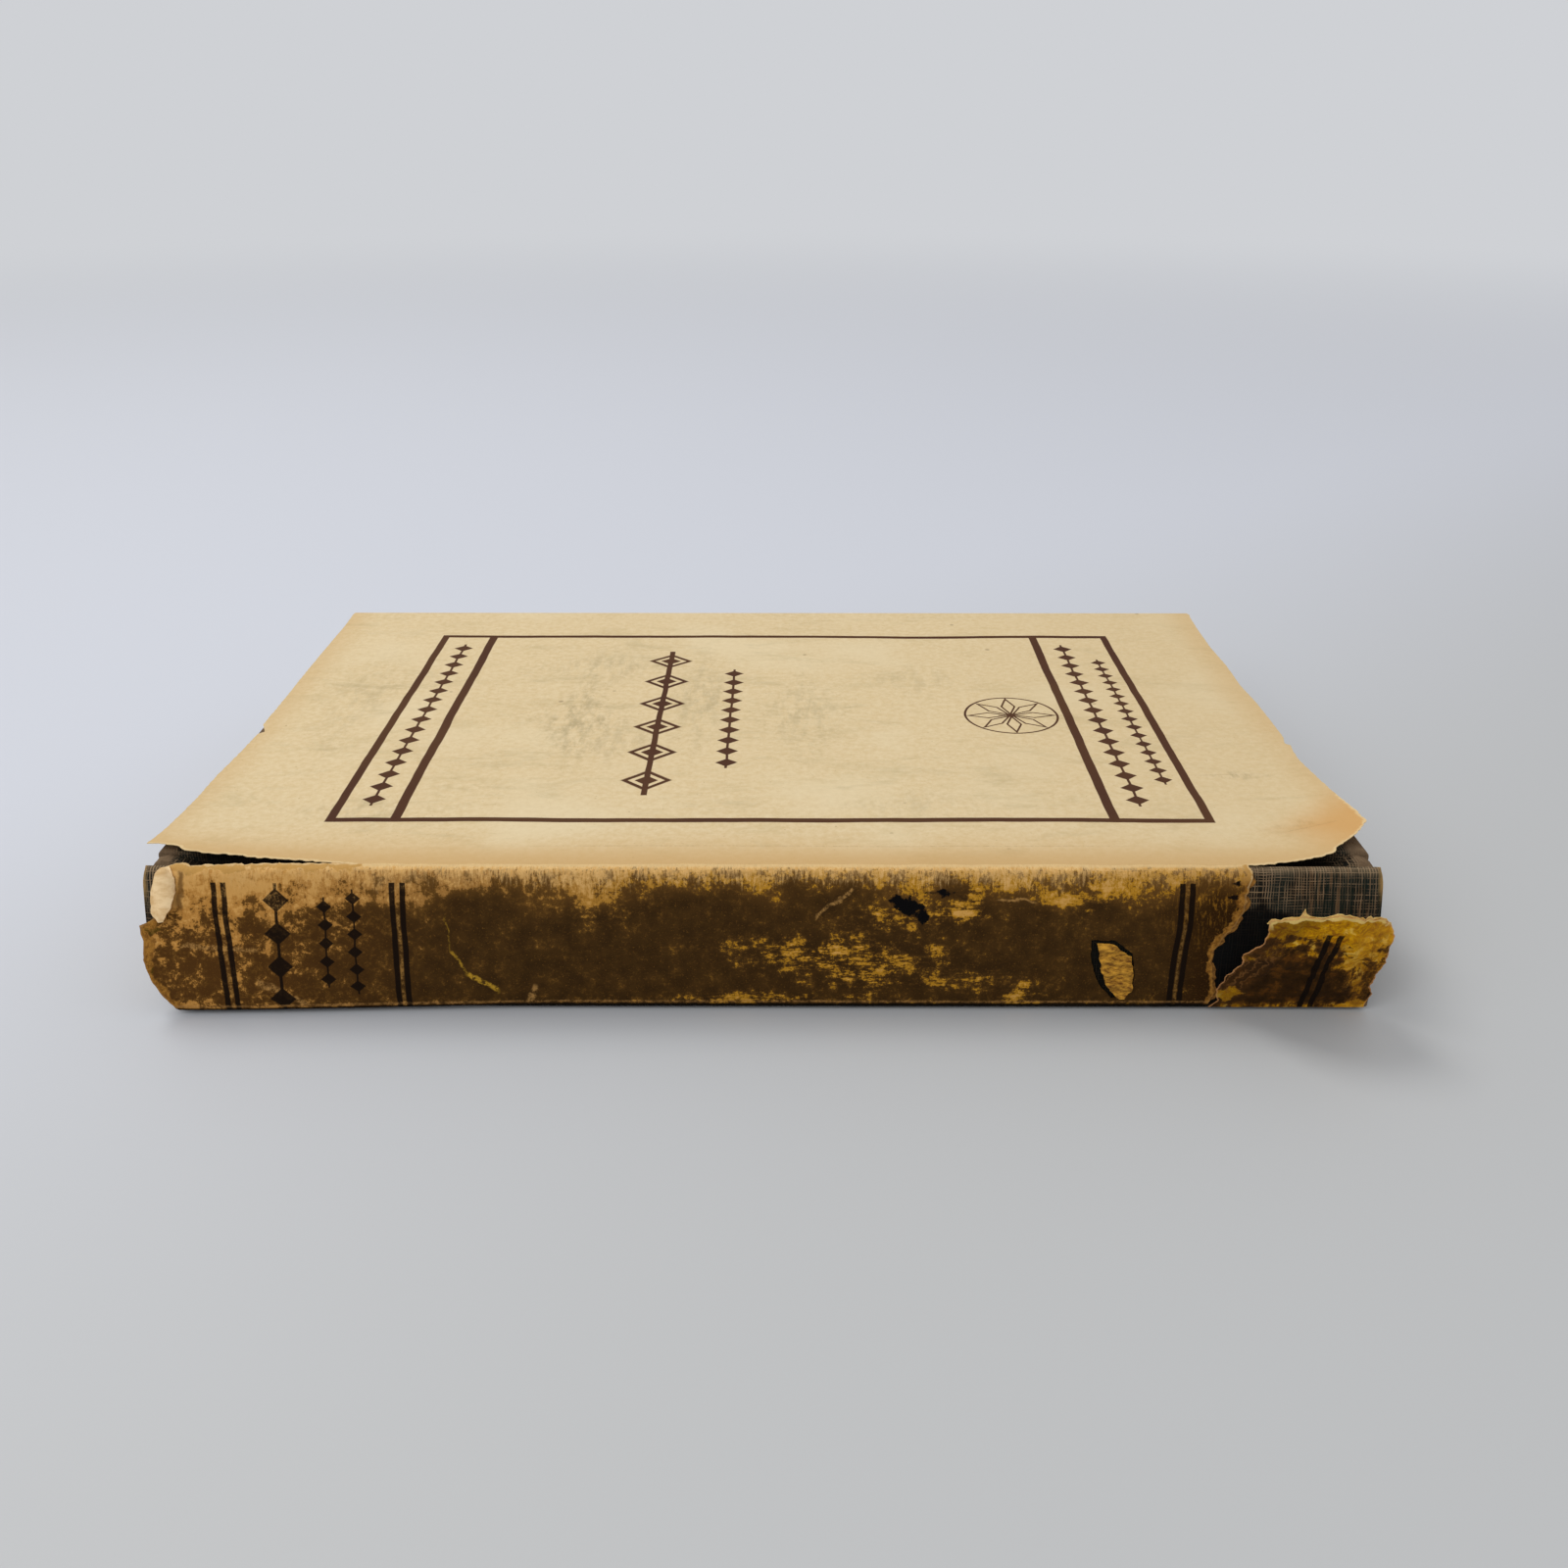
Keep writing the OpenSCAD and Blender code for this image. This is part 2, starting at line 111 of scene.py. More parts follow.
class OldBookColours(PropertyGroup):
    """Colours of the book's finishes"""

    buff: colour("Buff", "The jacket's face", srgb(225, 206, 168))
    ochre: colour("Ochre", "Toned paper at the jacket's edges", srgb(203, 167, 112))
    core: colour("Core", "Torn paper fibres", srgb(226, 202, 154))
    toned: colour("Toned", "Darkened face of the jacket's spine", srgb(54, 36, 15))
    tan: colour("Tan", "Rubbed face of the jacket's spine", srgb(170, 122, 62))
    gold: colour("Gold", "Yellowed scuffs on the jacket's spine", srgb(178, 128, 34))
    ink: colour("Ink", "Printed rules and ornaments", srgb(70, 37, 24))
    spine_ink: colour("Spine ink", "Print on the spine", srgb(22, 14, 9))
    cloth: colour("Cloth", "The cover cloth's threads", srgb(156, 130, 100))
    cloth_dark: colour("Cloth shade", "Between the cloth's threads", srgb(24, 23, 19))
    page: colour("Pages", "Cut page edges", srgb(206, 182, 138))
    endpaper: colour("Endpaper", "Flyleaves and pastedowns", srgb(224, 208, 170))
    floor: colour("Floor", "The plain floor", srgb(191, 194, 197))
    backdrop: colour("Backdrop", "What lies past the floor", srgb(207, 209, 213))


# Materials


class Value:
    """A node's output, which plain signs can add, take away and multiply."""

    def __init__(self, shade, socket):
        self.shade = shade
        self.socket = socket

    def __add__(self, other):
        return self.shade.math("ADD", self, other)

    def __radd__(self, other):
        return self.shade.math("ADD", other, self)

    def __sub__(self, other):
        return self.shade.math("SUBTRACT", self, other)

    def __rsub__(self, other):
        return self.shade.math("SUBTRACT", other, self)

    def __mul__(self, other):
        return self.shade.math("MULTIPLY", self, other)

    def __rmul__(self, other):
        return self.shade.math("MULTIPLY", other, self)


class Shade:
    """A node material, built with short calls that take outputs or plain values."""

    def __init__(self, name):
        self.material = bpy.data.materials.new(name)
        self.material.use_nodes = True
        self.tree = self.material.node_tree
        self.skin = self.tree.nodes["Principled BSDF"]
        self.skin.inputs["Specular IOR Level"].default_value = 0.25

    def node(self, kind, inputs=(), **settings):
        made = self.tree.nodes.new(kind)
        for key, value in settings.items():
            setattr(made, key, value)
        for key, value in dict(inputs).items():
            self.put(made.inputs[key], value)
        return made

    def put(self, socket, value):
        """Links an output to a socket, or sets the socket to a plain value."""
        if isinstance(value, Value):
            value = value.socket
        if isinstance(value, bpy.types.NodeSocket):
            self.tree.links.new(value, socket)
        elif socket.type == "RGBA":
            socket.default_value = tuple(value)[:3] + (1,)
        else:
            socket.default_value = value

    def math(self, operation, a, b=0.0):
        made = self.node("ShaderNodeMath", {0: a, 1: b}, operation=operation)
        return Value(self, made.outputs[0])

    def most(self, *values):
        """The largest of its values."""
        found = values[0]
        for value in values[1:]:
            found = self.math("MAXIMUM", found, value)
        return found

    def away(self, value, centre):
        """How far a value is from a centre."""
        return self.math("ABSOLUTE", value - centre)

    def rise(self, value, low, high):
        """0 below low, 1 above high, smooth between; low may be the larger."""
        limits = {"Value": value, "From Min": min(low, high), "From Max": max(low, high)}
        if low > high:
            limits.update({"To Min": 1.0, "To Max": 0.0})
        made = self.node("ShaderNodeMapRange", limits, interpolation_type="SMOOTHSTEP")
        return Value(self, made.outputs[0])

    def mix(self, share, a, b):
        """Colour a where share is 0, and colour b where it is 1."""
        made = self.node("ShaderNodeMix", {0: share}, data_type="RGBA")
        self.put(made.inputs[6], a)
        self.put(made.inputs[7], b)
        return Value(self, made.outputs[2])

    def place(self, scale=(1, 1, 1), turn=0.0, source="Object"):
        """Object coordinates, or the piece's UV map, in millimetres times a scale."""
        start = self.node("ShaderNodeTexCoord").outputs[source]
        mapping = self.node("ShaderNodeMapping", {"Vector": start}, vector_type="POINT")
        mapping.inputs["Scale"].default_value = [v / MM for v in scale]
        mapping.inputs["Rotation"].default_value = (0, 0, turn)
        return Value(self, mapping.outputs[0])

    def noise(self, place, size, detail=3.0, rough=0.55, twist=0.0):
        """Noise whose features are about size millimetres across."""
        inputs = {"Vector": place, "Scale": 1 / size, "Detail": detail}
        inputs.update({"Roughness": rough, "Distortion": twist})
        return Value(self, self.node("ShaderNodeTexNoise", inputs).outputs["Fac"])

    def cells(self, place, size):
        """Distance to the middle of cells that are about size millimetres across."""
        made = self.node("ShaderNodeTexVoronoi", {"Vector": place, "Scale": 1 / size})
        return Value(self, made.outputs["Distance"])

    def split(self, place):
        found = self.node("ShaderNodeSeparateXYZ", {0: place}).outputs
        return [Value(self, socket) for socket in found]

    def attribute(self, name):
        return Value(self, self.node("ShaderNodeAttribute", attribute_name=name).outputs["Fac"])

    def bump(self, height, strength, distance, under=None):
        """A normal for relief of a depth in millimetres, on top of another normal."""
        inputs = {"Height": height, "Strength": strength, "Distance": distance * MM}
        made = self.node("ShaderNodeBump", inputs)
        if under is not None:
            self.put(made.inputs["Normal"], under)
        return Value(self, made.outputs[0])

    def finish(self, paint, roughness, normal=None):
        self.put(self.skin.inputs["Base Color"], paint)
        self.put(self.skin.inputs["Roughness"], roughness)
        if normal is not None:
            self.put(self.skin.inputs["Normal"], normal)
        return self.material


def box_rule(sh, u, v, centre, half, rule):
    """A rectangle's printed outline."""
    across = sh.away(u, centre[0]) - half[0]
    along = sh.away(v, centre[1]) - half[1]
    edge = sh.away(sh.most(across, along), -rule / 2)
    return sh.rise(edge, rule / 2 + 0.07, rule / 2 - 0.07)


def bar(sh, u, v, x, middle, half, rule):
    """A printed bar along the second axis."""
    inside = sh.rise(sh.away(v, middle), half + 0.07, half - 0.07)
    return inside * sh.rise(sh.away(u, x), rule / 2 + 0.07, rule / 2 - 0.07)


def beaded_rule(sh, u, v, x, middle, size, width):
    """A thin rule with a row of lozenges strung on it."""
    count = max(1, round(size / (width * 1.25)))
    pitch = size / count
    shifted = v + (1000 * pitch + size / 2 - middle)
    phase = sh.away(sh.math("MODULO", shifted, pitch), pitch / 2)
    across = sh.away(u, x)
    lozenge = across * (2 / width) + phase * (2 / (0.7 * pitch))
    solid = sh.rise(lozenge, 1.06, 0.94)
    if width > 6:
        hollow = sh.rise(lozenge, 0.74, 0.7) * sh.rise(lozenge, 0.44, 0.48)
        solid = solid - hollow
    shape = sh.most(solid, sh.rise(across, 0.06 * width + 0.06, 0.06 * width - 0.06))
    return shape * sh.rise(sh.away(v, middle), size / 2 + 0.05, size / 2 - 0.05)


def rosette(sh, u, v, centre, width, line):
    """Eight outlined petals in a ring."""
    du = u - centre[0]
    dv = v - centre[1]
    reach = sh.math("SQRT", du * du + dv * dv)
    ring = sh.rise(sh.away(reach, width / 2 - line / 2), line / 2 + 0.06, line / 2 - 0.06)
    angle = sh.math("ARCTAN2", dv, du)
    eighth = math.pi / 4
    folded = sh.away(sh.math("MODULO", angle + 8.5 * eighth, eighth), eighth / 2)
    along = reach * sh.math("COSINE", folded)
    across = reach * sh.math("SINE", folded)
    half = (width - line) / 4
    shape = sh.away(along, half) * (1 / half) + across * (12 / width)
    petals = sh.rise(sh.away(shape, 0.86), 0.16, 0.11)
    inside = sh.rise(reach, width / 2, width / 2 - 0.1)
    return sh.most(ring, petals * inside, sh.rise(reach, 1.0, 0.85))


def jacket_paper(colours, printed):
    """Buff paper with toned edges, and on the front its marks, its frame and its ornaments."""
    sh = Shade("jacket_paper_printed" if printed else "jacket_paper_plain")
    sh.skin.inputs["Specular IOR Level"].default_value = 0.12
    at = sh.place()
    page = sh.place(source="UV")
    u, v, _ = sh.split(page)
    mottle = sh.noise(at, 1.3, 6, 0.72)
    cloud = sh.noise(at, 26, 3, 0.5)
    fibre = sh.noise(sh.place((1, 3, 1)), 0.45, 4, 0.7)
    paint = buff_paper(sh, colours, at, mottle, cloud)
    if printed:
        paint = smudges(sh, paint, u, v, mottle)
        paint = toned_fold_and_shade(sh, colours, paint, u, v, cloud)
    toned = sh.attribute("rim") * 0.14 + (cloud - 0.5) * -1.2
    paint = sh.mix(sh.rise(toned, 1.0, -0.1) * 0.42, paint, colours.ochre)
    if printed:
        paint = corner_and_creases(sh, paint, u, v, cloud, fibre)
        paint = printed_frame(sh, colours, paint, page, cloud)
    frayed = sh.rise(sh.attribute("torn") + (mottle - 0.5) * -1.6, 0.6, 0.1)
    paint = sh.mix(frayed * 0.75, paint, colours.core)
    grain = sh.bump(fibre, 0.3, 0.05)
    normal = sh.bump(sh.noise(at, 5, 3, 0.55), 0.3, 0.12, grain)
    return sh.finish(paint, 0.86, normal)


def buff_paper(sh, colours, at, mottle, cloud):
    """Mottled buff paper with faint streaks, specks and flecks."""
    paint = sh.mix(sh.rise(mottle, 0.25, 0.75), colours.buff, srgb(212, 189, 145))
    faint = sh.noise(sh.place((0.45, 1, 1), -0.15), 7, 7, 0.75, 0.4)
    paint = sh.mix(sh.rise(faint, 0.52, 0.66) * 0.26, paint, srgb(188, 169, 124))
    paint = sh.mix(sh.rise(cloud, 0.5, 0.72) * 0.5, paint, srgb(227, 211, 175))
    streak = sh.noise(sh.place((0.35, 1, 1), 0.9), 7, 6, 0.7, 0.6)
    paint = sh.mix(sh.rise(streak, 0.52, 0.74) * 0.36, paint, srgb(170, 156, 116))
    specks = sh.rise(sh.noise(at, 0.6, 2, 0.5), 0.7, 0.78)
    paint = sh.mix(specks * 0.45, paint, srgb(146, 116, 76))
    dots = sh.rise(sh.cells(at, 11) + mottle * 0.08, 0.1, 0.07)
    paint = sh.mix(dots * 0.55, paint, srgb(120, 96, 66))
    flecks = sh.rise(sh.noise(sh.place((1, 0.3, 1), 0.7), 0.9, 4, 0.75), 0.66, 0.76)
    flecks = flecks * sh.rise(streak, 0.42, 0.62)
    return sh.mix(flecks * 0.4, paint, srgb(150, 136, 100))


def smudges(sh, paint, u, v, mottle):
    """Grey handling marks, each a centre, its reach both ways and a strength."""
    smear = sh.noise(sh.place((1, 0.3, 1), 0.25, "UV"), 2.4, 5, 0.7)
    for x, y, w, d, strength in (
        (-36, 60, 8, 22, 0.55), (-29, 50, 12, 12, 0.32), (-13, 70, 7, 26, 0.42),
        (7, 62, 9, 24, 0.36), (-33, 88, 16, 12, 0.34), (30, 80, 14, 10, 0.22),
        (-80, 70, 9, 30, 0.25), (82, 34, 6, 2.2, 0.8), (87, 14, 5, 2.0, 0.7),
        (-66, 20, 14, 5, 0.3), (26, 22, 16, 6, 0.2),
    ):
        near = sh.away(u, x) * (1 / w) + sh.away(v, y) * (1 / d) + (mottle - 0.5) * -1.4
        smudge = sh.rise(near, 1.4, 0.2) * sh.rise(smear, 0.4, 0.66)
        paint = sh.mix(smudge * strength, paint, srgb(156, 143, 108))
    return paint


def toned_fold_and_shade(sh, colours, paint, u, v, cloud):
    """Darkens the front along its fold with toning, and towards the tail with painted shade."""
    near_fold = sh.rise(v + (cloud - 0.5) * 9, 15, 1)
    paint = sh.mix(near_fold * 0.6, paint, colours.ochre)
    paint = sh.mix(sh.rise(v, 8, 1) * 0.3, paint, srgb(190, 150, 92))
    # Painted shade, darker towards the tail.
    shaded = sh.rise(u + (cloud - 0.5) * 40, 20, 95)
    return sh.mix(shaded * 0.3, paint, srgb(206, 182, 138))


def corner_and_creases(sh, paint, u, v, cloud, fibre):
    """Stains the corner by the spine's tail, and draws three creases."""
    corner = sh.away(u, 97) * (1 / 17) + sh.away(v, 13) * (1 / 15)
    warm = sh.rise(corner + (cloud - 0.5) * 0.8, 1.3, 0.25)
    paint = sh.mix(warm * 0.8, paint, srgb(207, 158, 94))
    broken = sh.rise(fibre, 0.42, 0.6)
    for x, y, half, slope in ((10, 7.3, 54, 0.0), (88, 13.0, 5, 0.25), (80, 34.5, 7, 0.05)):
        track = v - (u - x) * slope
        track = sh.away(track + (cloud - 0.5) * 0.8, y)
        crease = sh.rise(track, 0.2, 0.02) * sh.rise(sh.away(u, x), half, half * 0.7)
        paint = sh.mix(crease * broken * 0.4, paint, srgb(140, 112, 72))
    return paint


def printed_frame(sh, colours, paint, page, cloud):
    """Prints the front's ruled frame, its beaded rules and its rosette."""
    wobble = (sh.noise(page, 9, 1) - 0.5) * 0.45
    u, v, _ = sh.split(page)
    u = u + wobble
    v = v - wobble
    middle = 61.6
    prints = [box_rule(sh, u, v, (0.95, middle), (72.5, 46), 1.5)]
    prints += [bar(sh, u, v, x, middle, 46, 1.7) for x in (-60.3, 57.2)]
    for x, size, width in (
        (-65.55, 80, 4), (-20.55, 71, 9), (-7.05, 49.7, 4), (62.57, 80, 4), (68.69, 62.4, 3.2),
    ):
        prints.append(beaded_rule(sh, u, v, x, middle, size, width))
    prints.append(rosette(sh, u, v, (46.45, middle), 18, 0.45))
    worn = sh.rise(sh.noise(page, 0.5, 4, 0.7), 0.78, 0.62)
    ink = sh.most(*prints) * (worn * 0.1 + 0.88)
    shade = sh.mix(sh.rise(cloud, 0.35, 0.65), colours.ink, srgb(80, 48, 27))
    return sh.mix(ink, paint, shade)


def patches(sh, u, v, spots, ragged):
    """Adds up soft patches, each a centre, its reach both ways and a strength."""
    shares = []
    for x, y, w, d, strength in spots:
        near = sh.away(u, x) * (1 / w) + sh.away(v, y) * (1 / d)
        near = near - (ragged - 0.5) * 1.6
        shares.append(sh.rise(near, 1.35, 0.25) * strength)
    return sum(shares)


class SpineGround:
    """The noise and the zones that the spine's paper is painted with."""

    def __init__(self, sh):
        self.flat = sh.place(source="UV")
        self.u, self.v, _ = sh.split(self.flat)
        self.zone = sh.noise(self.flat, 11, 2, 0.5)
        self.patch = sh.noise(self.flat, 3.2, 4, 0.62)
        self.fine = sh.noise(self.flat, 0.95, 6, 0.82)
        self.upright = sh.noise(sh.place((1, 0.24, 1), -0.1, "UV"), 0.5, 5, 0.75)
        self.grit = sh.noise(self.flat, 0.3, 3, 0.7)
        self.middle = sh.rise(sh.away(self.u, 2), 40, 26)
        self.right = sh.rise(self.u, 50, 62)
        height = self.v - self.middle * 1.2 - self.right * 0.5
        self.top = sh.rise(height + (self.zone - 0.5) * 14, 15.5, 22.5)
        self.head = sh.rise(self.u + (self.zone - 0.5) * 22, -42, -88)
        self.tail = sh.rise(self.u, 58, 70)


def spine_paper(colours):
    """The jacket's darkened spine, rubbed through to its tan and pale core."""
    sh = Shade("spine_paper")
    sh.skin.inputs["Specular IOR Level"].default_value = 0.04
    ground = SpineGround(sh)
    wear = spine_wear(sh, ground)
    rubbed = sh.rise(wear, 0.0, 0.07)
    dark = toned_face(sh, colours, ground)
    paint = sh.mix(sh.rise(wear, -0.22, 0.03) * 0.5, dark, srgb(118, 82, 34))
    paint = sh.mix(rubbed, paint, tan_face(sh, colours, ground, wear))
    fleck = sh.rise(ground.upright, 0.52, 0.62) * sh.rise(ground.v + ground.patch * 8, 13, 22)
    paint = sh.mix(fleck * ground.tail * 0.7, paint, srgb(150, 104, 32))
    paint = scratches(sh, paint, ground)
    paint = pale_top(sh, paint, ground)
    paint = stains_and_shade(sh, paint, ground)
    paint = spine_print(sh, colours, paint, ground, wear)
    paint = torn_rim(sh, paint, ground)
    # A pale line on the bottom fold: rubbed paper, with a painted highlight of the fold's edge.
    crease = sh.rise(sh.away(ground.v, 1.36), 0.3, 0.1) * sh.rise(ground.fine, 0.38, 0.58)
    paint = sh.mix(crease * 0.5, paint, srgb(172, 128, 74))
    # Painted shadow: a dark line at the foot, where the bottom fold meets the floor.
    paint = sh.mix(sh.rise(ground.v, 1.08, 0.86) * 0.92, paint, srgb(16, 10, 6))
    grain = sh.bump(ground.grit, 0.5, 0.06)
    fuzz = sh.bump(ground.upright, ground.top * 0.8, 0.25, grain)
    return sh.finish(paint, 0.75, sh.bump(rubbed, 0.45, -0.07, fuzz))


def spine_wear(sh, ground):
    """How worn the spine's face is; above 0 it is rubbed through."""
    streak = sh.noise(sh.place((0.2, 1, 1), 0.05, "UV"), 0.9, 6, 0.78)
    spots = (
        (15, 8.5, 21, 6.5, 0.9), (24, 16, 13, 3, 0.75), (2, 11, 16, 2.2, 0.6),
        (32, 17.5, 3.4, 4, 1.0), (50, 18.5, 9, 3, 0.6), (33, 5, 16, 3, 0.5),
        (41, 2.2, 5, 2.2, 0.8), (-2, 2.2, 14, 1.6, 0.9), (-24, 17, 9, 4, 0.4),
        (62, 3.5, 7, 2, 0.35), (71, 9, 2.5, 8, 0.35),
    )
    scuffed = patches(sh, ground.u, ground.v, spots, ground.patch)
    blots = (ground.patch - 0.5) * (ground.top + ground.head) * 0.7
    spread = (ground.patch - 0.5) * 0.9 + (ground.fine - 0.5) * 1.6
    spread = spread + blots + (ground.upright - 0.5) * ground.top * 0.8
    spread = spread + (streak - 0.5) * scuffed * 2.2
    lower = 0.5 + sh.rise(ground.v, 7, 19) * 0.5
    bias = ground.top * 0.42 + ground.head * lower * 0.36
    bias = bias + (sh.rise(ground.v, 3.2, 0.3) * 0.2 + scuffed * 0.3)
    return spread - (0.3 + ground.tail * 0.07) + bias


def toned_face(sh, colours, ground):
    """The spine's dark face where it isn't rubbed."""
    dark = sh.mix(sh.rise(ground.patch, 0.3, 0.7), colours.toned, srgb(72, 49, 20))
    dark = sh.mix(ground.head * 0.85, dark, srgb(82, 52, 20))
    dark = sh.mix(ground.tail * 0.85, dark, srgb(46, 27, 8))
    dark = sh.mix(ground.top * 0.6, dark, srgb(122, 84, 36))
    grains = sh.rise(ground.grit, 0.56, 0.68) * sh.rise(ground.fine, 0.42, 0.56)
    return sh.mix(grains * 0.6, dark, srgb(128, 88, 34))


def tan_face(sh, colours, ground, wear):
    """The spine's face where it is rubbed, yellower towards the tail."""
    tan = sh.mix(sh.rise(ground.fine, 0.3, 0.7), colours.tan, srgb(150, 108, 54))
    tan = sh.mix(sh.rise(ground.u, -50, 0), tan, colours.gold)
    tan = sh.mix(ground.head * 0.75, tan, srgb(186, 132, 62))
    return sh.mix(sh.rise(wear, 0.16, 0.42) * 0.65, tan, srgb(220, 170, 98))


def scratches(sh, paint, ground):
    """Draws five rubbed lines and one curved scratch."""
    u, v, patch = ground.u, ground.v, ground.patch
    lines = [
        scratch(sh, u, v, start, end, thick, patch)
        for start, end, thick in (
            ((-90, 11.2), (-78, 10.6), 0.45),
            ((-78.5, 5.6), (-71, 1.6), 0.7),
            ((-36.6, 1.0), (-35.4, 4.4), 0.65),
            ((8, 15.8), (14.5, 20.4), 0.35),
            ((36, 18.4), (42, 18.2), 0.3),
        )
    ]
    rubs = sh.most(*lines) * (sh.rise(ground.fine, 0.4, 0.58) * 0.62)
    paint = sh.mix(rubs, paint, srgb(190, 144, 82))
    arc = sh.most(
        scratch(sh, u, v, (-48.8, 15.8), (-48.2, 10.2), 0.2, patch) * 0.35,
        scratch(sh, u, v, (-48.2, 10.4), (-45.6, 6.2), 0.3, patch) * 0.7,
        scratch(sh, u, v, (-46.0, 6.6), (-41.2, 3.3), 0.55, patch),
    )
    return sh.mix(arc * sh.rise(ground.fine, 0.4, 0.55), paint, srgb(178, 138, 42))


def pale_top(sh, paint, ground):
    """Bares the pale core along the top fold."""
    ragged = ground.v - ground.middle * 0.2 + (ground.upright - 0.5) * 9
    pale = sh.rise(ragged + (ground.zone - 0.5) * 6, 20.2, 23.6)
    pale = pale * (1 - sh.rise(ground.u, -38, -52) * 0.45)
    pale = pale * (1 - sh.rise(ground.u, 38, 56) * 0.35)
    pale = pale * (1 - ground.right * 0.45)
    bare = 0.45 + sh.rise(ground.fine, 0.42, 0.56) * 0.5
    paint = sh.mix(pale * bare, paint, srgb(226, 184, 120))
    core = sh.mix(sh.rise(ground.upright, 0.42, 0.6), srgb(248, 214, 154), srgb(212, 164, 96))
    paint = sh.mix(sh.rise(ragged, 22.0, 23.9) * (1 - ground.right * 0.5), paint, core)
    return sh.mix(sh.rise(ground.v, 23.3, 23.9) * 0.85, paint, srgb(220, 190, 138))


def stains_and_shade(sh, paint, ground):
    """The black spot, the stained tips and the painted shadow beside the folded-over paper."""
    u, v, fine = ground.u, ground.v, ground.fine
    spots = (
        (22.6, 17.4, 2.6, 1.9, 1.0), (20.6, 18.4, 1.6, 1.2, 1.0),
        (24.6, 15.9, 1.4, 1.6, 1.0), (27.5, 19.6, 4, 1.2, 0.5),
    )
    black = patches(sh, u, v, spots, fine) + (ground.patch - 0.5) * 1.2
    paint = sh.mix(sh.rise(black, 0.34, 0.46), paint, srgb(11, 10, 11))
    tip = patches(sh, u, v, ((-94.3, 13.8, 2.0, 1.1, 1.0), (-94.8, 8.0, 0.9, 3.4, 0.8)), fine)
    paint = sh.mix(sh.rise(tip, 0.3, 0.6) * 0.75, paint, srgb(74, 58, 12))
    # Painted shadow beside the folded-over paper.
    shadow = scratch(sh, u, v, (-89.0, 22.8), (-89.5, 16.6), 0.7, ground.patch)
    return sh.mix(shadow * 0.7, paint, srgb(78, 48, 18))


def spine_print(sh, colours, paint, ground, wear):
    """Prints the spine's beaded rules and its pairs of bars, paler between each pair."""
    u, v = ground.u, ground.v
    wobble = (sh.noise(ground.flat, 6, 1) - 0.5) * 0.45
    slip = sh.rise(u, -77, -82) * (0.7 + sh.rise(v, 21, 0) * 0.9)
    slip = slip + ground.right * sh.rise(v, 4, 20) * 0.7
    across = u + wobble - slip
    rules = [
        beaded_rule(sh, across, v, x, middle, size, width)
        for x, middle, size, width in (
            (-74.7, 10.5, 20.8, 4), (-67.4, 11.6, 14.4, 2.4), (-62.9, 11.6, 16.8, 2.4),
        )
    ]
    gaps = []
    for x in (-84.1, -56.0, 64.4):
        rules += [bar(sh, across, v, x + side * 0.78, 10.6, 10.4, 0.85) for side in (-1, 1)]
        gaps.append(bar(sh, across, v, x, 10.6, 10.2, 0.5))
    between = sh.most(*gaps) * sh.rise(ground.fine + ground.patch * 0.4, 0.62, 0.8)
    paint = sh.mix(between * (0.6 - ground.tail * 0.42), paint, srgb(168, 126, 66))
    kept = sh.rise(wear * 0.5 + ground.grit * 0.9, 0.78, 0.6)
    paint = sh.mix(sh.most(*rules) * (kept * 0.3 + 0.66), paint, colours.spine_ink)
    spots = ((72.9, 21.0, 1.3, 0.55, 1.0), (72.4, 18.9, 1.6, 0.5, 1.0))
    remnants = patches(sh, u, v, spots, ground.grit)
    return sh.mix(sh.rise(remnants, 0.4, 0.6), paint, colours.spine_ink)


def torn_rim(sh, paint, ground):
    """Bares an uneven band of paper core along torn edges."""
    v, patch, fine = ground.v, ground.patch, ground.fine
    torn = sh.attribute("torn")
    band = torn - ((patch - 0.5) * 4.4 + (fine - 0.5) * 1.4)
    ochre = sh.rise(band, 1.25, 0.9) * 0.9
    bared = sh.mix(sh.rise(fine, 0.4, 0.6), srgb(172, 122, 52), srgb(112, 72, 26))
    bared = sh.mix(sh.rise(v, 20.5, 22.5), bared, srgb(190, 146, 80))
    paint = sh.mix(ochre, paint, bared)
    cream = sh.mix(sh.rise(v, 8, 22), srgb(190, 146, 88), srgb(224, 196, 146))
    edge = sh.rise(torn - (fine - 0.5) * 1.2, 0.26, 0.1)
    strength = 0.15 + sh.rise(v, 18.5, 22) * 0.4
    return sh.mix(edge * strength, paint, cream)


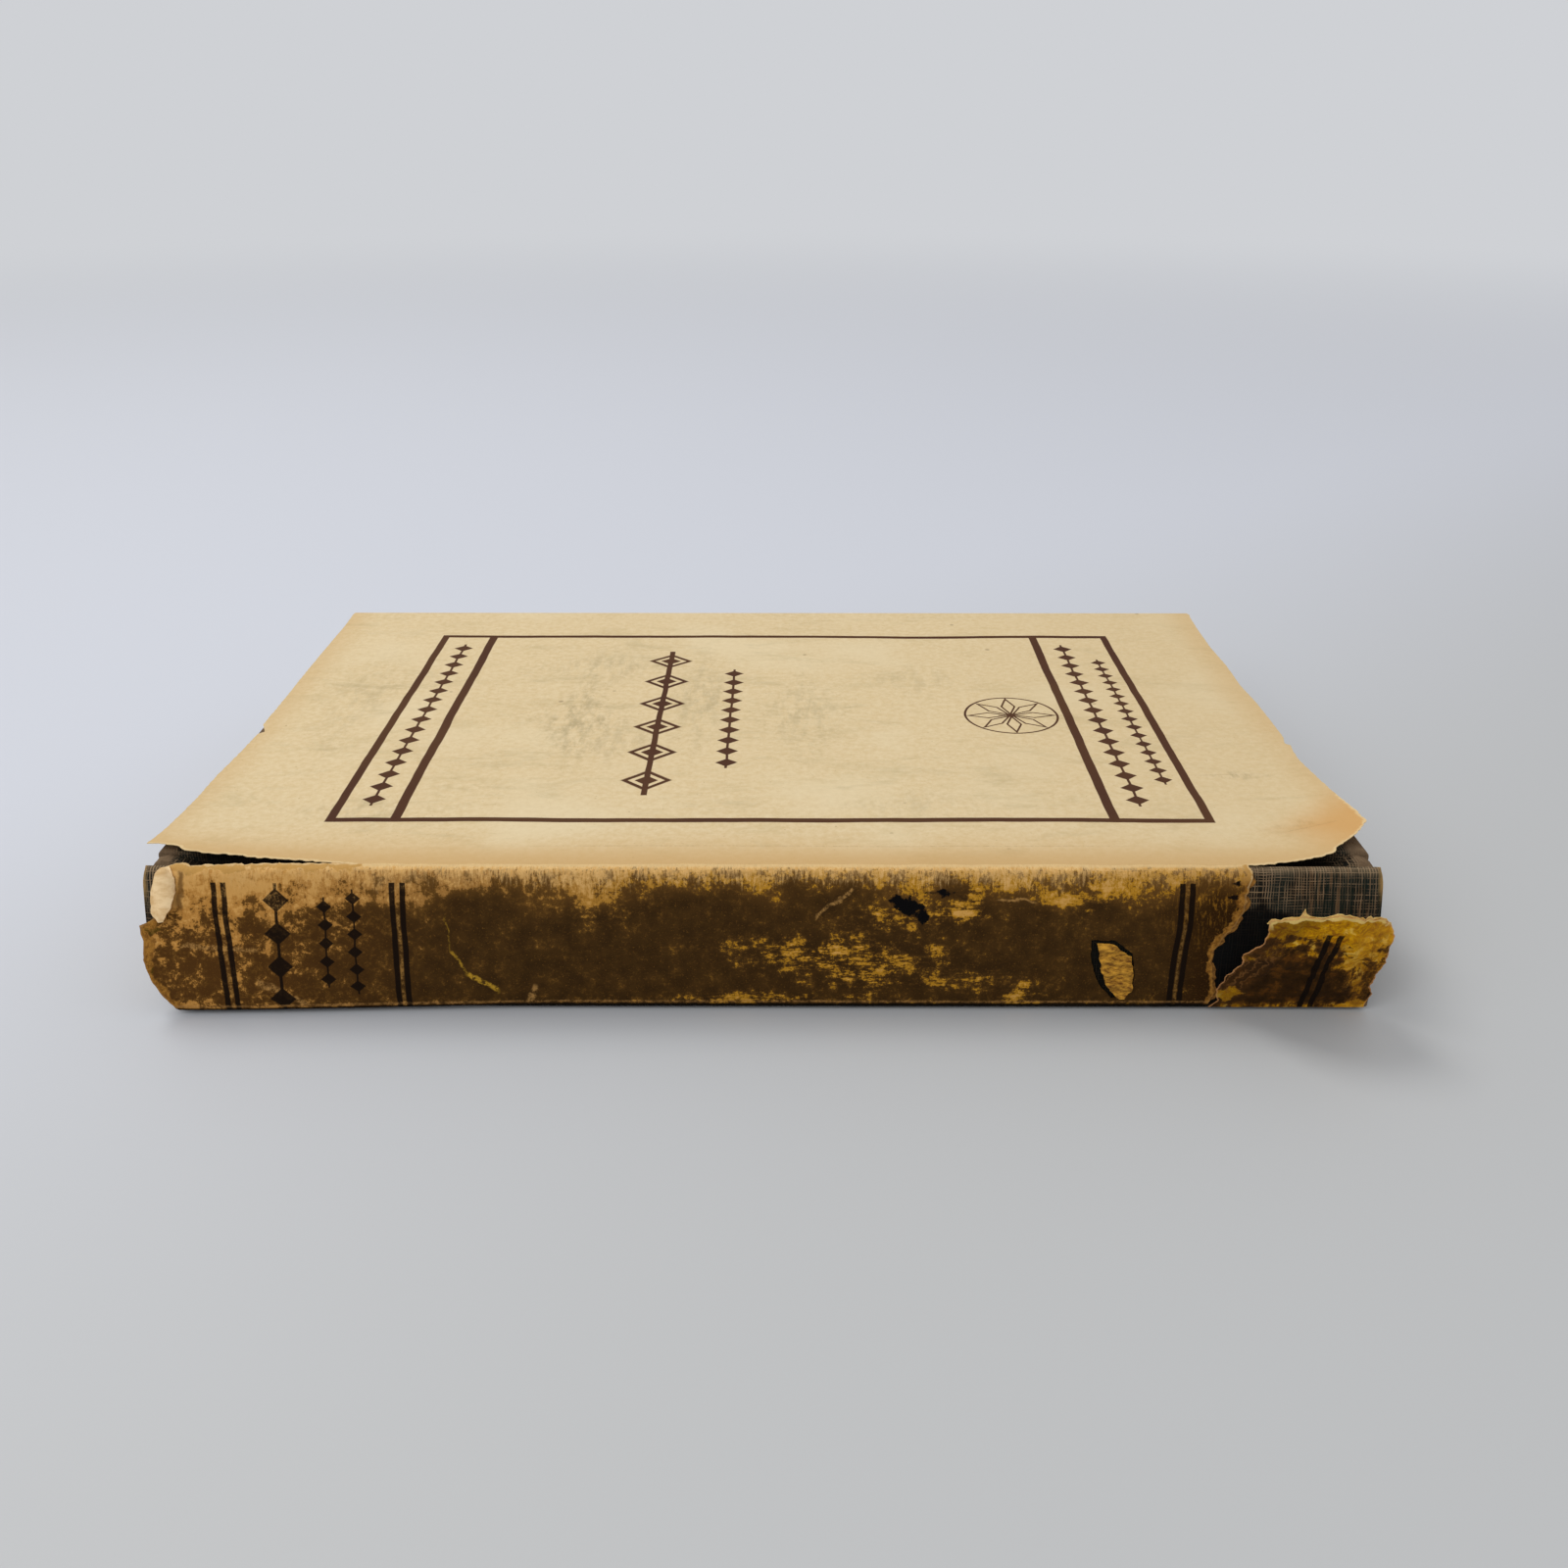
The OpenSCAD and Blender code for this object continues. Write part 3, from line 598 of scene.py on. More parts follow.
def torn_piece_paper(colours):
    """The torn tail piece: golden where bared, with painted highlights on its crumples, dark where
    its print remains.
    """
    sh = Shade("torn_piece_paper")
    sh.skin.inputs["Specular IOR Level"].default_value = 0.04
    flat = sh.place(source="UV")
    u, v, _ = sh.split(flat)
    zone = sh.noise(flat, 7, 2, 0.5)
    patch = sh.noise(flat, 2.6, 5, 0.66)
    fine = sh.noise(flat, 0.8, 6, 0.82)
    upright = sh.noise(sh.place((1, 0.3, 1), 0.15, "UV"), 1.2, 5, 0.75)
    grit = sh.noise(flat, 0.3, 3, 0.7)
    top = sh.rise(v + (zone - 0.5) * 15, 11.5, 18.0)
    right = sh.rise(u + (zone - 0.5) * 12, 86.5, 93)
    reach = sh.away(u, 72.5) * 0.42 + sh.away(v, 3.4) * 0.62
    corner = sh.rise(reach + (patch - 0.5) * 3.2, 1.5, 0.7)
    ridge = sh.rise(sh.away(u, 90.5), 2.6, 0.6) * sh.rise(v, 3, 7)
    bias = top * 0.8 + (right * 0.26 + corner * 0.7)
    bias = bias + (ridge * 0.14 + sh.rise(v, 2.2, 0.3) * 0.3)
    spread = (patch - 0.5) * 0.9 + (fine - 0.5) * 0.7
    spread = spread + (upright - 0.5) * 0.7
    wear = spread - 0.3 + bias
    rubbed = sh.rise(wear, 0.0, 0.12)
    dark = sh.mix(sh.rise(patch, 0.3, 0.7), srgb(42, 26, 10), srgb(68, 43, 16))
    paint = sh.mix(sh.rise(wear, -0.18, 0.04) * 0.6, dark, srgb(116, 76, 26))
    swirl_and_highlight = sh.noise(flat, 2.8, 4, 0.6, 1.2)
    gold = sh.mix(sh.rise(fine, 0.38, 0.62), srgb(222, 164, 12), srgb(176, 116, 12))
    # Painted highlights on the crumpled paper; the darker swirls are the paper's own colour.
    gold = sh.mix(sh.rise(swirl_and_highlight, 0.52, 0.66) * 0.8, gold, srgb(240, 196, 84))
    gold = sh.mix(sh.rise(swirl_and_highlight, 0.44, 0.34) * 0.7, gold, srgb(142, 84, 18))
    gold = sh.mix(right * 0.3, gold, srgb(186, 130, 50))
    paint = sh.mix(rubbed, paint, gold)
    smear = sh.rise(sh.noise(sh.place((0.6, 1, 1), 0.5, "UV"), 3.4, 4, 0.7), 0.56, 0.66)
    paint = sh.mix(smear * top * 0.75, paint, srgb(134, 74, 16))
    blots = sh.rise(patch, 0.52, 0.62) * sh.rise(v, 19.5, 15.5)
    paint = sh.mix(blots * 0.5, paint, srgb(104, 62, 18))
    torn = sh.attribute("torn")
    left = sh.rise(u + v * -0.35, 76.5, 72.5) * sh.rise(torn, 5.5, 4.0)
    layers = sh.math("SINE", torn * 4.4 + (patch - 0.5) * 22)
    strands = left * sh.rise(layers, 0.6, 0.95) * sh.rise(zone, 0.42, 0.56)
    paint = sh.mix(left * 0.5, paint, srgb(66, 42, 20))
    paint = sh.mix(strands * 0.5, paint, srgb(132, 90, 48))
    slope = u - (v - 9) * 0.02
    ends = sh.rise(v, 18.3, 17.7) * sh.rise(v, -0.1, 0.3)
    pair = sh.rise(sh.away(sh.away(slope, 85.3), 0.8), 0.5, 0.38)
    kept = sh.rise(rubbed * 0.1 + grit, 0.74, 0.56)
    paint = sh.mix(pair * ends * (kept * 0.15 + 0.82), paint, colours.spine_ink)
    band = torn - (patch - 0.5) * 2.4
    along_top = sh.rise(v, 18.5, 20.5) * sh.rise(u, 94.0, 92.5)
    bared = sh.rise(band, 0.85, 0.5) * (along_top * 0.85)
    paint = sh.mix(bared, paint, srgb(244, 212, 128))
    edge = sh.rise(torn - (fine - 0.5) * 0.9, 0.22, 0.08)
    paint = sh.mix(edge * 0.6, paint, srgb(206, 148, 96))
    grain = sh.bump(grit, 0.5, 0.06)
    folds = sh.bump(upright, 0.6, 0.3, grain)
    normal = sh.bump(rubbed + layers, 0.35, -0.08, folds)
    return sh.finish(paint, 0.75, normal)


def scratch(sh, u, v, start, end, thick, ragged):
    """A rubbed line between two points."""
    dx, dy = end[0] - start[0], end[1] - start[1]
    size = math.hypot(dx, dy)
    du, dv = u - start[0], v - start[1]
    along = du * (dx / size) + dv * (dy / size)
    across = du * (-dy / size) + dv * (dx / size)
    across = sh.away(across + (ragged - 0.5) * 2.2, 0)
    inside = sh.rise(sh.away(along, size / 2), size / 2 + 0.4, size / 2 - 0.6)
    return inside * sh.rise(across, thick, thick * 0.3)


def cover_cloth(colours, spine):
    """Woven cover cloth, rubbed on its folds with a painted highlight on the spine's top fold,
    stained dark near the tail, with painted shade beside the spine and under the peeled chip.
    """
    source = "UV" if spine else "Object"
    sh = Shade("spine_cloth_weave" if spine else "cover_cloth_weave")
    sh.skin.inputs["Specular IOR Level"].default_value = 0.06
    flat = sh.place(source=source)
    u, v, w = sh.split(flat)
    if not spine:
        v = v + w
    wave = 2 * math.pi / 0.42
    drift = sh.noise(flat, 4, 2) * 0.5
    warp = sh.math("SINE", (u + drift) * wave)
    weft = sh.math("SINE", (v + drift) * wave)
    along = sh.noise(sh.place((1, 0.05, 1), source=source), 0.42, 3, 0.6)
    cross = sh.noise(sh.place((0.05, 1, 1), source=source), 0.42, 3, 0.6)
    warp = sh.rise(warp, -0.2, 0.9) * sh.rise(along, 0.36, 0.6)
    weft = sh.rise(weft, 0.0, 0.95) * sh.rise(cross, 0.42, 0.62)
    weave = sh.most(warp, weft)
    old = sh.noise(flat, 6, 5, 0.6)
    face = sh.mix(sh.rise(old, 0.35, 0.65), colours.cloth, srgb(116, 100, 80))
    deep = sh.mix(sh.rise(old, 0.4, 0.6), colours.cloth_dark, srgb(30, 38, 34))
    if spine:
        paint = worn_lit_and_shaded_spine_cloth(sh, u, v, weave, old, deep, face)
    else:
        paint = worn_and_shaded_cover_cloth(sh, u, weave, old, deep, face)
    return sh.finish(paint, 0.82, sh.bump(weave + old * 0.5, 0.6, 0.12))


def worn_lit_and_shaded_spine_cloth(sh, u, v, weave, old, deep, face):
    """Ribs at the tail, a rubbed fold with a painted highlight on its edge, rubbed tips, a dark
    stain at the tail, and painted shade under the peeled chip.
    """
    light = sh.rise(v + (old - 0.5) * 6, 13, 20)
    paint = sh.mix(weave * (0.4 + light * 0.6), deep, face)
    ribs = sh.noise(sh.place((1, 0.04, 1), source="UV"), 0.9, 4, 0.7)
    tail = sh.rise(u, 80, 85)
    paint = sh.mix(sh.rise(ribs, 0.48, 0.55) * tail * 0.75, paint, srgb(17, 30, 26))
    paint = sh.mix(sh.rise(ribs, 0.47, 0.41) * tail * 0.6, paint, srgb(116, 90, 64))
    # The top fold is rubbed pale, with a painted highlight along its edge.
    fold = sh.rise(v + old * 2, 22.6, 24.2)
    paint = sh.mix((weave * 0.6 + 0.3) * fold, paint, srgb(150, 128, 100))
    ragged = v + (old - 0.5) * 12
    stain = sh.rise(sh.away(u, 74.5), 8.2, 6.0) * sh.rise(ragged, 18.6, 16.4)
    paint = sh.mix(stain * 0.93, paint, srgb(11, 11, 12))
    # Painted shade in the gap under the peeled chip.
    gap = sh.rise(sh.away(u, 54), 7, 5) * sh.rise(v, 15, 13)
    paint = sh.mix(gap * 0.85, paint, srgb(13, 11, 9))
    tips = sh.rise(sh.away(u, 0) + old * 1.5, 94.9, 96.0) * sh.rise(v, 17, 21)
    return sh.mix(tips * 0.85, paint, srgb(176, 142, 88))


def worn_and_shaded_cover_cloth(sh, u, weave, old, deep, face):
    """Rubbed smooth at head and tail, and darkened by painted shade beside the spine."""
    paint = sh.mix(weave * 0.8, deep, face)
    rubbed = sh.rise(sh.away(u, 0), 89.5, 94.0) + (old - 0.5) * 1.2
    rubbed = sh.rise(rubbed, 0.3, 0.75)
    grain = sh.noise(sh.place((0.3, 0.3, 1)), 0.8, 4, 0.7)
    smooth_cloth = sh.mix(sh.rise(grain, 0.3, 0.7), srgb(106, 86, 66), srgb(130, 108, 84))
    paint = sh.mix(rubbed * 0.85, paint, smooth_cloth)
    depth = sh.split(sh.place())[1]
    # Painted shade in the joint beside the spine, where the jacket's edge hangs over it.
    painted_groove_shade = sh.rise(sh.away(u, 0), 92, 87) * sh.rise(depth, -51.6, -53.0)
    return sh.mix(painted_groove_shade * 0.93, paint, srgb(10, 8, 6))


def page_edges(colours):
    """Cut page edges: fine lines from leaf to leaf, darker dust on top."""
    sh = Shade("page_edges")
    at = sh.place()
    leaves = sh.noise(sh.place((0.006, 0.006, 1)), 0.13, 2, 0.6)
    groups = sh.noise(sh.place((0.004, 0.004, 1)), 1.1, 2, 0.5)
    paint = sh.mix(sh.rise(leaves, 0.36, 0.58), srgb(158, 128, 84), colours.page)
    paint = sh.mix(sh.rise(groups, 0.56, 0.7) * 0.4, paint, srgb(146, 114, 72))
    dust = sh.noise(at, 5, 6, 0.65)
    paint = sh.mix(sh.rise(dust, 0.5, 0.75) * 0.4, paint, srgb(140, 112, 74))
    return sh.finish(paint, 0.9, sh.bump(leaves, 0.7, 0.08))


def leaf_paper(colours):
    """Plain endpaper with foxing and a browned rim."""
    sh = Shade("leaf_paper")
    at = sh.place()
    mottle = sh.noise(at, 3, 5, 0.6)
    paint = sh.mix(sh.rise(mottle, 0.2, 0.8), colours.endpaper, srgb(220, 202, 161))
    spots = sh.rise(sh.cells(at, 9) + mottle * 0.25, 0.2, 0.13)
    paint = sh.mix(spots * 0.45, paint, srgb(168, 122, 70))
    rim = sh.attribute("rim") * 0.2 + (mottle - 0.5) * -1
    paint = sh.mix(sh.rise(rim, 1.0, 0) * 0.5, paint, srgb(196, 160, 106))
    fibre = sh.noise(sh.place((1, 2.5, 1)), 0.5, 4, 0.7)
    return sh.finish(paint, 0.85, sh.bump(fibre, 0.3, 0.05))


def plain_card(name, base, other, size):
    """Board, lining or gauze: a fibrous two-tone surface."""
    sh = Shade(name)
    fibre = sh.noise(sh.place((0.4, 1, 1)), size, 5, 0.65)
    paint = sh.mix(sh.rise(fibre, 0.3, 0.7), base, other)
    return sh.finish(paint, 0.9, sh.bump(fibre, 0.5, 0.08))


def floor_paint(colours):
    """A plain floor with painted light, lighter towards the back left, that fades into the
    backdrop's colour away from the book.
    """
    sh = Shade("plain_floor")
    sh.skin.inputs["Specular IOR Level"].default_value = 0.2
    x, y, _ = sh.split(sh.place())
    # Painted light: the floor's colour grows lighter towards the back left.
    slant = y * 0.9 - x * 0.7
    tint = sh.mix(sh.rise(slant, -130, 150), colours.floor, srgb(208, 213, 224))
    sh.finish(tint, 0.5)
    reach = sh.math("SQRT", x * x + y * y)
    far = sh.rise(reach, 220, 1500)
    seen = sh.node("ShaderNodeLightPath").outputs["Is Camera Ray"]
    glow = sh.node("ShaderNodeEmission", {"Color": colours.backdrop, "Strength": 1.0})
    both = sh.node("ShaderNodeMixShader", {0: far * seen})
    sh.put(both.inputs[1], sh.skin.outputs[0])
    sh.put(both.inputs[2], glow.outputs[0])
    sh.put(sh.tree.nodes["Material Output"].inputs["Surface"], both.outputs[0])
    return sh.material


# Shapes


class Line:
    """A path in Y and Z with rounded corners, and the face's normal along it."""

    def __init__(self, corners, side, start=0.0):
        points = [corners[0][:2]]
        for before, here, after in zip(corners, corners[1:], corners[2:]):
            radius = here[2] if len(here) > 2 else 0
            if radius <= 0:
                points.append(here[:2])
                continue
            p, a, b = (np.array(q[:2], float) for q in (here, before, after))
            pa = p + (a - p) * min(0.49, radius / np.linalg.norm(a - p))
            pb = p + (b - p) * min(0.49, radius / np.linalg.norm(b - p))
            for t in np.linspace(0, 1, 9):
                points.append(tuple((1 - t) ** 2 * pa + 2 * t * (1 - t) * p + t * t * pb))
        points.append(corners[-1][:2])
        raw = np.array(points, float)
        step = np.linalg.norm(np.diff(raw, axis=0), axis=1)
        raw = raw[np.concatenate([[True], step > 1e-6])]
        along = np.concatenate([[0], np.cumsum(np.linalg.norm(np.diff(raw, axis=0), axis=1))])
        self.along = np.linspace(0, along[-1], max(60, int(along[-1] / 0.12)))
        self.y = np.interp(self.along, along, raw[:, 0])
        self.z = np.interp(self.along, along, raw[:, 1])
        for _ in range(6):
            self.y[1:-1] = (self.y[:-2] + 2 * self.y[1:-1] + self.y[2:]) / 4
            self.z[1:-1] = (self.z[:-2] + 2 * self.z[1:-1] + self.z[2:]) / 4
        dy, dz = np.gradient(self.y), np.gradient(self.z)
        size = np.hypot(dy, dz)
        self.ny = side * dz / size
        self.nz = -side * dy / size
        self.along = self.along + start
        self.end = self.along[-1]

    def at(self, s):
        """Y and Z at a length along the path, and the two parts of the normal."""
        return (np.interp(s, self.along, a) for a in (self.y, self.z, self.ny, self.nz))

    def bends(self):
        """Lengths along the path where it turns sharply, in steps of about 0.2 mm."""
        turning = np.hypot(np.gradient(self.ny), np.gradient(self.nz)) > 0.012
        kept = []
        for s in self.along[turning]:
            if not kept or s - kept[-1] > 0.19:
                kept.append(s)
        return np.array(kept)


def book_sizes():
    return bpy.context.scene.old_book_sizes


def spine_y(z):
    """The jacket's outer face on the spine, from the top fold's plane."""
    sizes = book_sizes()
    u = 1 - z / TOP
    return -(sizes.spine_lean * u + 4 * sizes.spine_round * u * (1 - u))


def ripple(x, y, size, seed, count=14):
    """Smooth irregular relief between about -1 and 1, from a sum of waves."""
    rng = np.random.RandomState(seed)
    total = np.zeros(np.broadcast(x, y).shape)
    for _ in range(count):
        angle = rng.uniform(0, 2 * math.pi)
        k = 2 * math.pi / (size * rng.uniform(0.6, 1.9))
        total += np.sin(k * (x * math.cos(angle) + y * math.sin(angle)) + rng.uniform(0, 6.3))
    return total / math.sqrt(count)


def smooth(value, low, high):
    """0 below low, 1 above high, smooth between."""
    t = np.clip((value - low) / (high - low), 0, 1)
    return t * t * (3 - 2 * t)


def ragged_outline(corners, seed, bends=(), fine=0.55, plain=2.0):
    """Adds points along an outline; a corner's third number is how torn its edge is, in mm."""
    bends = np.array(bends)
    rng = np.random.RandomState(seed)
    points, rough = [], []
    for here, after in zip(corners, corners[1:] + corners[:1]):
        a, b = np.array(here[:2], float), np.array(after[:2], float)
        torn = here[2] if len(here) > 2 else 0.0
        size = np.linalg.norm(b - a)
        count = max(1, int(round(size / (fine if torn else plain))))
        crossed = (bends > min(a[1], b[1]) - 0.3) & (bends < max(a[1], b[1]) + 0.3)
        if crossed.any():
            count = max(count, int(math.ceil(abs(b[1] - a[1]) / 0.25)))
        normal = np.array([-(b - a)[1], (b - a)[0]]) / max(size, 1e-9)
        for i in range(count):
            t = i / count
            fade = math.sin(math.pi * min(1, max(0, t))) if size < 3 else 1.0
            shift = torn * rng.uniform(-1, 1) * fade if i else 0.0
            points.append(a + (b - a) * t + normal * shift)
            rough.append(torn)
    return np.array(points), np.array(rough)


def inside(points, ring):
    """Which points lie inside a closed ring."""
    x, y = points[:, 0], points[:, 1]
    found = np.zeros(len(points), bool)
    for (x0, y0), (x1, y1) in zip(ring, np.roll(ring, -1, axis=0)):
        crossing = (y0 > y) != (y1 > y)
        if not crossing.any():
            continue
        at = (x1 - x0) * (y - y0) / ((y1 - y0) or 1e-12) + x0
        found ^= crossing & (x < at)
    return found


def edge_distance(points, ring, chosen=None):
    """Distance from each point to a ring's segments."""
    nearest = np.full(len(points), 99.0)
    for i, (a, b) in enumerate(zip(ring, np.roll(ring, -1, axis=0))):
        if chosen is not None and not chosen[i]:
            continue
        d = b - a
        t = np.clip(((points - a) @ d) / max(d @ d, 1e-12), 0, 1)
        gap = np.hypot(*(points - a - t[:, None] * d).T)
        nearest = np.minimum(nearest, gap)
    return nearest


def sheet_grid(ring, holes, spacing, seed, bends):
    """Points inside a sheet's outline and clear of its holes, in rows where it bends."""
    low, high = ring.min(0), ring.max(0)
    xs = np.arange(low[0], high[0] + spacing, spacing)
    ys = np.arange(low[1], high[1] + spacing, spacing * 0.866)
    gx, gy = np.meshgrid(xs, ys)
    gx[1::2] += spacing / 2
    rng = np.random.RandomState(seed + 3)
    grid = np.stack([gx.ravel(), gy.ravel()], 1) + rng.uniform(-0.12, 0.12, (gx.size, 2)) * spacing
    if len(bends):
        gap = np.abs(grid[:, 1][:, None] - np.array(bends)[None, :]).min(1)
        across = np.arange(low[0] + spacing / 2, high[0], spacing)
        rows = np.array([(x, s) for s in bends for x in across])
        grid = np.concatenate([grid[gap > spacing * 0.35], rows])
    grid = grid[inside(grid, ring)]
    grid = grid[edge_distance(grid, ring) > min(spacing * 0.45, 0.45)]
    for hole in holes:
        grid = grid[~inside(grid, hole) & (edge_distance(grid, hole) > spacing * 0.35)]
    return grid


def sheet_triangles(ring, holes, grid):
    """Triangles over a sheet's outline and grid, all turned the same way."""
    points, edges = [], []
    for loop in [ring, *holes]:
        first = len(points)
        points += list(loop)
        edges += [(first + i, first + (i + 1) % len(loop)) for i in range(len(loop))]
    points = np.array(points + list(grid))
    made = geometry.delaunay_2d_cdt([Vector(p) for p in points], edges, [], 0, 1e-5)
    flat = np.array([tuple(p) for p in made[0]])
    tris = np.array([f for f in made[2]])
    centre = flat[tris].mean(1)
    keep = inside(centre, ring)
    for hole in holes:
        keep &= ~inside(centre, hole)
    tris = tris[keep]
    a, b, c = flat[tris[:, 0]], flat[tris[:, 1]], flat[tris[:, 2]]
    area = (b[:, 0] - a[:, 0]) * (c[:, 1] - a[:, 1]) - (b[:, 1] - a[:, 1]) * (c[:, 0] - a[:, 0])
    tris = tris[np.abs(area) > 1e-7]
    area = area[np.abs(area) > 1e-7]
    tris[area < 0] = tris[area < 0][:, ::-1]
    used = np.unique(tris)
    renumber = np.zeros(len(flat), int)
    renumber[used] = np.arange(len(used))
    return flat[used], renumber[tris]


def sheet_mesh(name, face, place, back, uv, marks):
    """A mesh of a sheet's face, back and walls, with its UV map and its attributes."""
    count = len(place)
    sides = {}
    for tri in face:
        for i, j in ((0, 1), (1, 2), (2, 0)):
            sides[(tri[i], tri[j])] = True
    walls = [(j, i, i + count, j + count) for i, j in sides if (j, i) not in sides]
    faces = [tuple(f) for f in face] + [tuple(f[::-1] + count) for f in face] + walls
    mesh = bpy.data.meshes.new(name)
    mesh.from_pydata((np.concatenate([place, back]) * MM).tolist(), [], faces)
    for label, values in marks.items():
        layer = mesh.attributes.new(label, "FLOAT", "POINT")
        layer.data.foreach_set("value", np.tile(np.minimum(values, 20), 2).astype(np.float32))
    layer = mesh.uv_layers.new(name="UVMap")
    index = np.zeros(len(mesh.loops), int)
    mesh.loops.foreach_get("vertex_index", index)
    both = np.tile(uv * MM, (2, 1))
    layer.data.foreach_set("uv", both[index].astype(np.float32).ravel())
    mesh.update()
    return mesh


def paper_sheet(name, corners, put, spacing, thickness, seed, holes=(), bends=(), feather=True):
    """A closed thin sheet. put(x, s) gives each point's place, normal and UV in millimetres."""
    ring, rough = ragged_outline(corners, seed, bends)
    hole_rings = [ragged_outline(hole, seed + 7 + i)[0] for i, hole in enumerate(holes)]
    grid = sheet_grid(ring, hole_rings, spacing, seed, bends)
    flat, tris = sheet_triangles(ring, hole_rings, grid)
    torn = edge_distance(flat, ring, rough >= 0.1)
    rim = edge_distance(flat, ring)
    place, normal, uv = put(flat[:, 0], flat[:, 1])
    thick = thickness * (0.45 + 0.55 * smooth(torn, 0, 1.3)) if feather else thickness
    back = place - normal * np.broadcast_to(thick, len(place))[:, None]
    face = tris
    u1, u2 = place[tris[:, 1]] - place[tris[:, 0]], place[tris[:, 2]] - place[tris[:, 0]]
    if np.sum(np.cross(u1, u2) * normal[tris[:, 0]]) < 0:
        face = tris[:, ::-1]
    mesh = sheet_mesh(name, face, place, back, uv, {"torn": torn, "rim": rim})
    piece = bpy.data.objects.new(name, mesh)
    bpy.context.scene.collection.objects.link(piece)
    soften(piece, 42)
    return piece


def fringe(name, line, outward, put, material, seed):
    """A ragged strip of paper core just behind a torn edge; outward is how far it shows."""
    rng = np.random.RandomState(seed)
    out = np.array(outward, float)
    fine = []
    for a, b in zip(line, line[1:]):
        a, b = np.array(a[:2], float), np.array(b[:2], float)
        count = max(1, int(np.linalg.norm(b - a) / 0.5))
        fine += [a + (b - a) * i / count for i in range(count)]
    fine.append(np.array(line[-1][:2], float))
    fade = np.minimum(1, np.minimum(np.arange(len(fine)), np.arange(len(fine))[::-1]) / 2)
    reach = rng.uniform(0.15, 1.0, len(fine)) * fade
    ring = [tuple(p + out * r) + (0.1,) for p, r in zip(fine, reach)]
    ring += [tuple(p - out * 1.5 / max(np.linalg.norm(out), 0.1)) for p in fine[::-1]]

    def behind(x, s):
        place, normal, flat = put(x, s)
        return place - normal * 0.16, normal, flat

    piece = paper_sheet(name, ring, behind, 0.8, 0.12, seed)
    paint(piece, material)
    return piece


def only(piece):
    """Selects one piece and makes it active."""
    if bpy.context.object and bpy.context.object.mode != "OBJECT":
        bpy.ops.object.mode_set(mode="OBJECT")
    bpy.ops.object.select_all(action="DESELECT")
    piece.select_set(True)
    bpy.context.view_layer.objects.active = piece


def edit_all(piece, operator, **settings):
    """Runs a mesh operator on the whole of a piece."""
    only(piece)
    bpy.ops.object.mode_set(mode="EDIT")
    bpy.ops.mesh.select_all(action="SELECT")
    operator(**settings)
    bpy.ops.object.mode_set(mode="OBJECT")


def soften(piece, angle):
    """Shades a piece smooth, but for edges sharper than the angle in degrees."""
    only(piece)
    bpy.ops.object.shade_smooth_by_angle(angle=math.radians(angle))


def paint(piece, material):
    """Gives a piece one material."""
    piece.data.materials.clear()
    piece.data.materials.append(material)


def from_node(name, node, bevel):
    """A copy of a CAD node, merged, with its edges rounded except along the spine."""
    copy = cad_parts[node].copy()
    copy.data = copy.data.copy()
    copy.name = name
    copy.parent = None
    for key in list(copy.keys()):
        del copy[key]
    bpy.context.scene.collection.objects.link(copy)
    only(copy)
    bpy.ops.object.mode_set(mode="EDIT")
    bpy.ops.mesh.select_all(action="SELECT")
    bpy.ops.mesh.remove_doubles(threshold=1e-6)
    bpy.ops.mesh.dissolve_limited(angle_limit=math.radians(1))
    bpy.ops.mesh.select_all(action="DESELECT")
    bpy.ops.mesh.select_mode(type="EDGE")
    bpy.ops.object.mode_set(mode="OBJECT")
    mesh = copy.data
    low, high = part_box(node)
    near = 0.02 * MM
    for edge in mesh.edges:
        a, b = (mesh.vertices[i].co for i in edge.vertices)
        end = abs(abs(a.x) - high.x) < near and abs(abs(b.x) - high.x) < near
        fore = abs(a.y - high.y) < near and abs(b.y - high.y) < near
        top = abs(a.z - high.z) < near and abs(b.z - high.z) < near
        foot = abs(a.z - low.z) < near and abs(b.z - low.z) < near
        edge.select = end + fore + top + foot >= 2 and max(a.y, b.y) > (FOLD_Y - 2) * MM
    bpy.ops.object.mode_set(mode="EDIT")
    bpy.ops.mesh.bevel(offset=bevel * MM, segments=4, clamp_overlap=False)
    bpy.ops.object.mode_set(mode="OBJECT")
    soften(copy, 40)
    return copy


def along_line(line, relief=None, uv=None):
    """A put function for paper_sheet: the sheet follows a line in Y and Z."""

    def put(x, s):
        y, z, ny, nz = line.at(s)
        rise = relief(x, s) if relief else 0.0
        place = np.stack([x, FOLD_Y + y + ny * rise, z + nz * rise], 1)
        normal = np.stack([np.zeros_like(x), ny, nz], 1)
        flat = np.stack([x, s if uv is None else uv(s)], 1)
        return place, normal, flat

    return put


def tail_lift(x, v):
    """How far the jacket's tail corner rises off the board."""
    sizes = book_sizes()
    d = np.maximum(0, 0.919 * (x - 71.3) - 0.394 * (v - 1))
    return sizes.tail_lift * (d / 18.6) ** 2 + 0.9 * smooth(d, 17.2, 20) ** 2


def head_lift(x, v):
    """How far the jacket's head corner rises off the board."""
    sizes = book_sizes()
    d = np.maximum(0, -0.751 * (x + 59.3) - 0.661 * (v - 1))
    return sizes.head_lift * (d / 25) ** 1.5


class BookOperator:
    """Shared settings of the book's operators"""

    bl_options = {"REGISTER", "UNDO"}

    def sizes(self):
        return book_sizes()

    def colours(self):
        return bpy.context.scene.old_book_colours


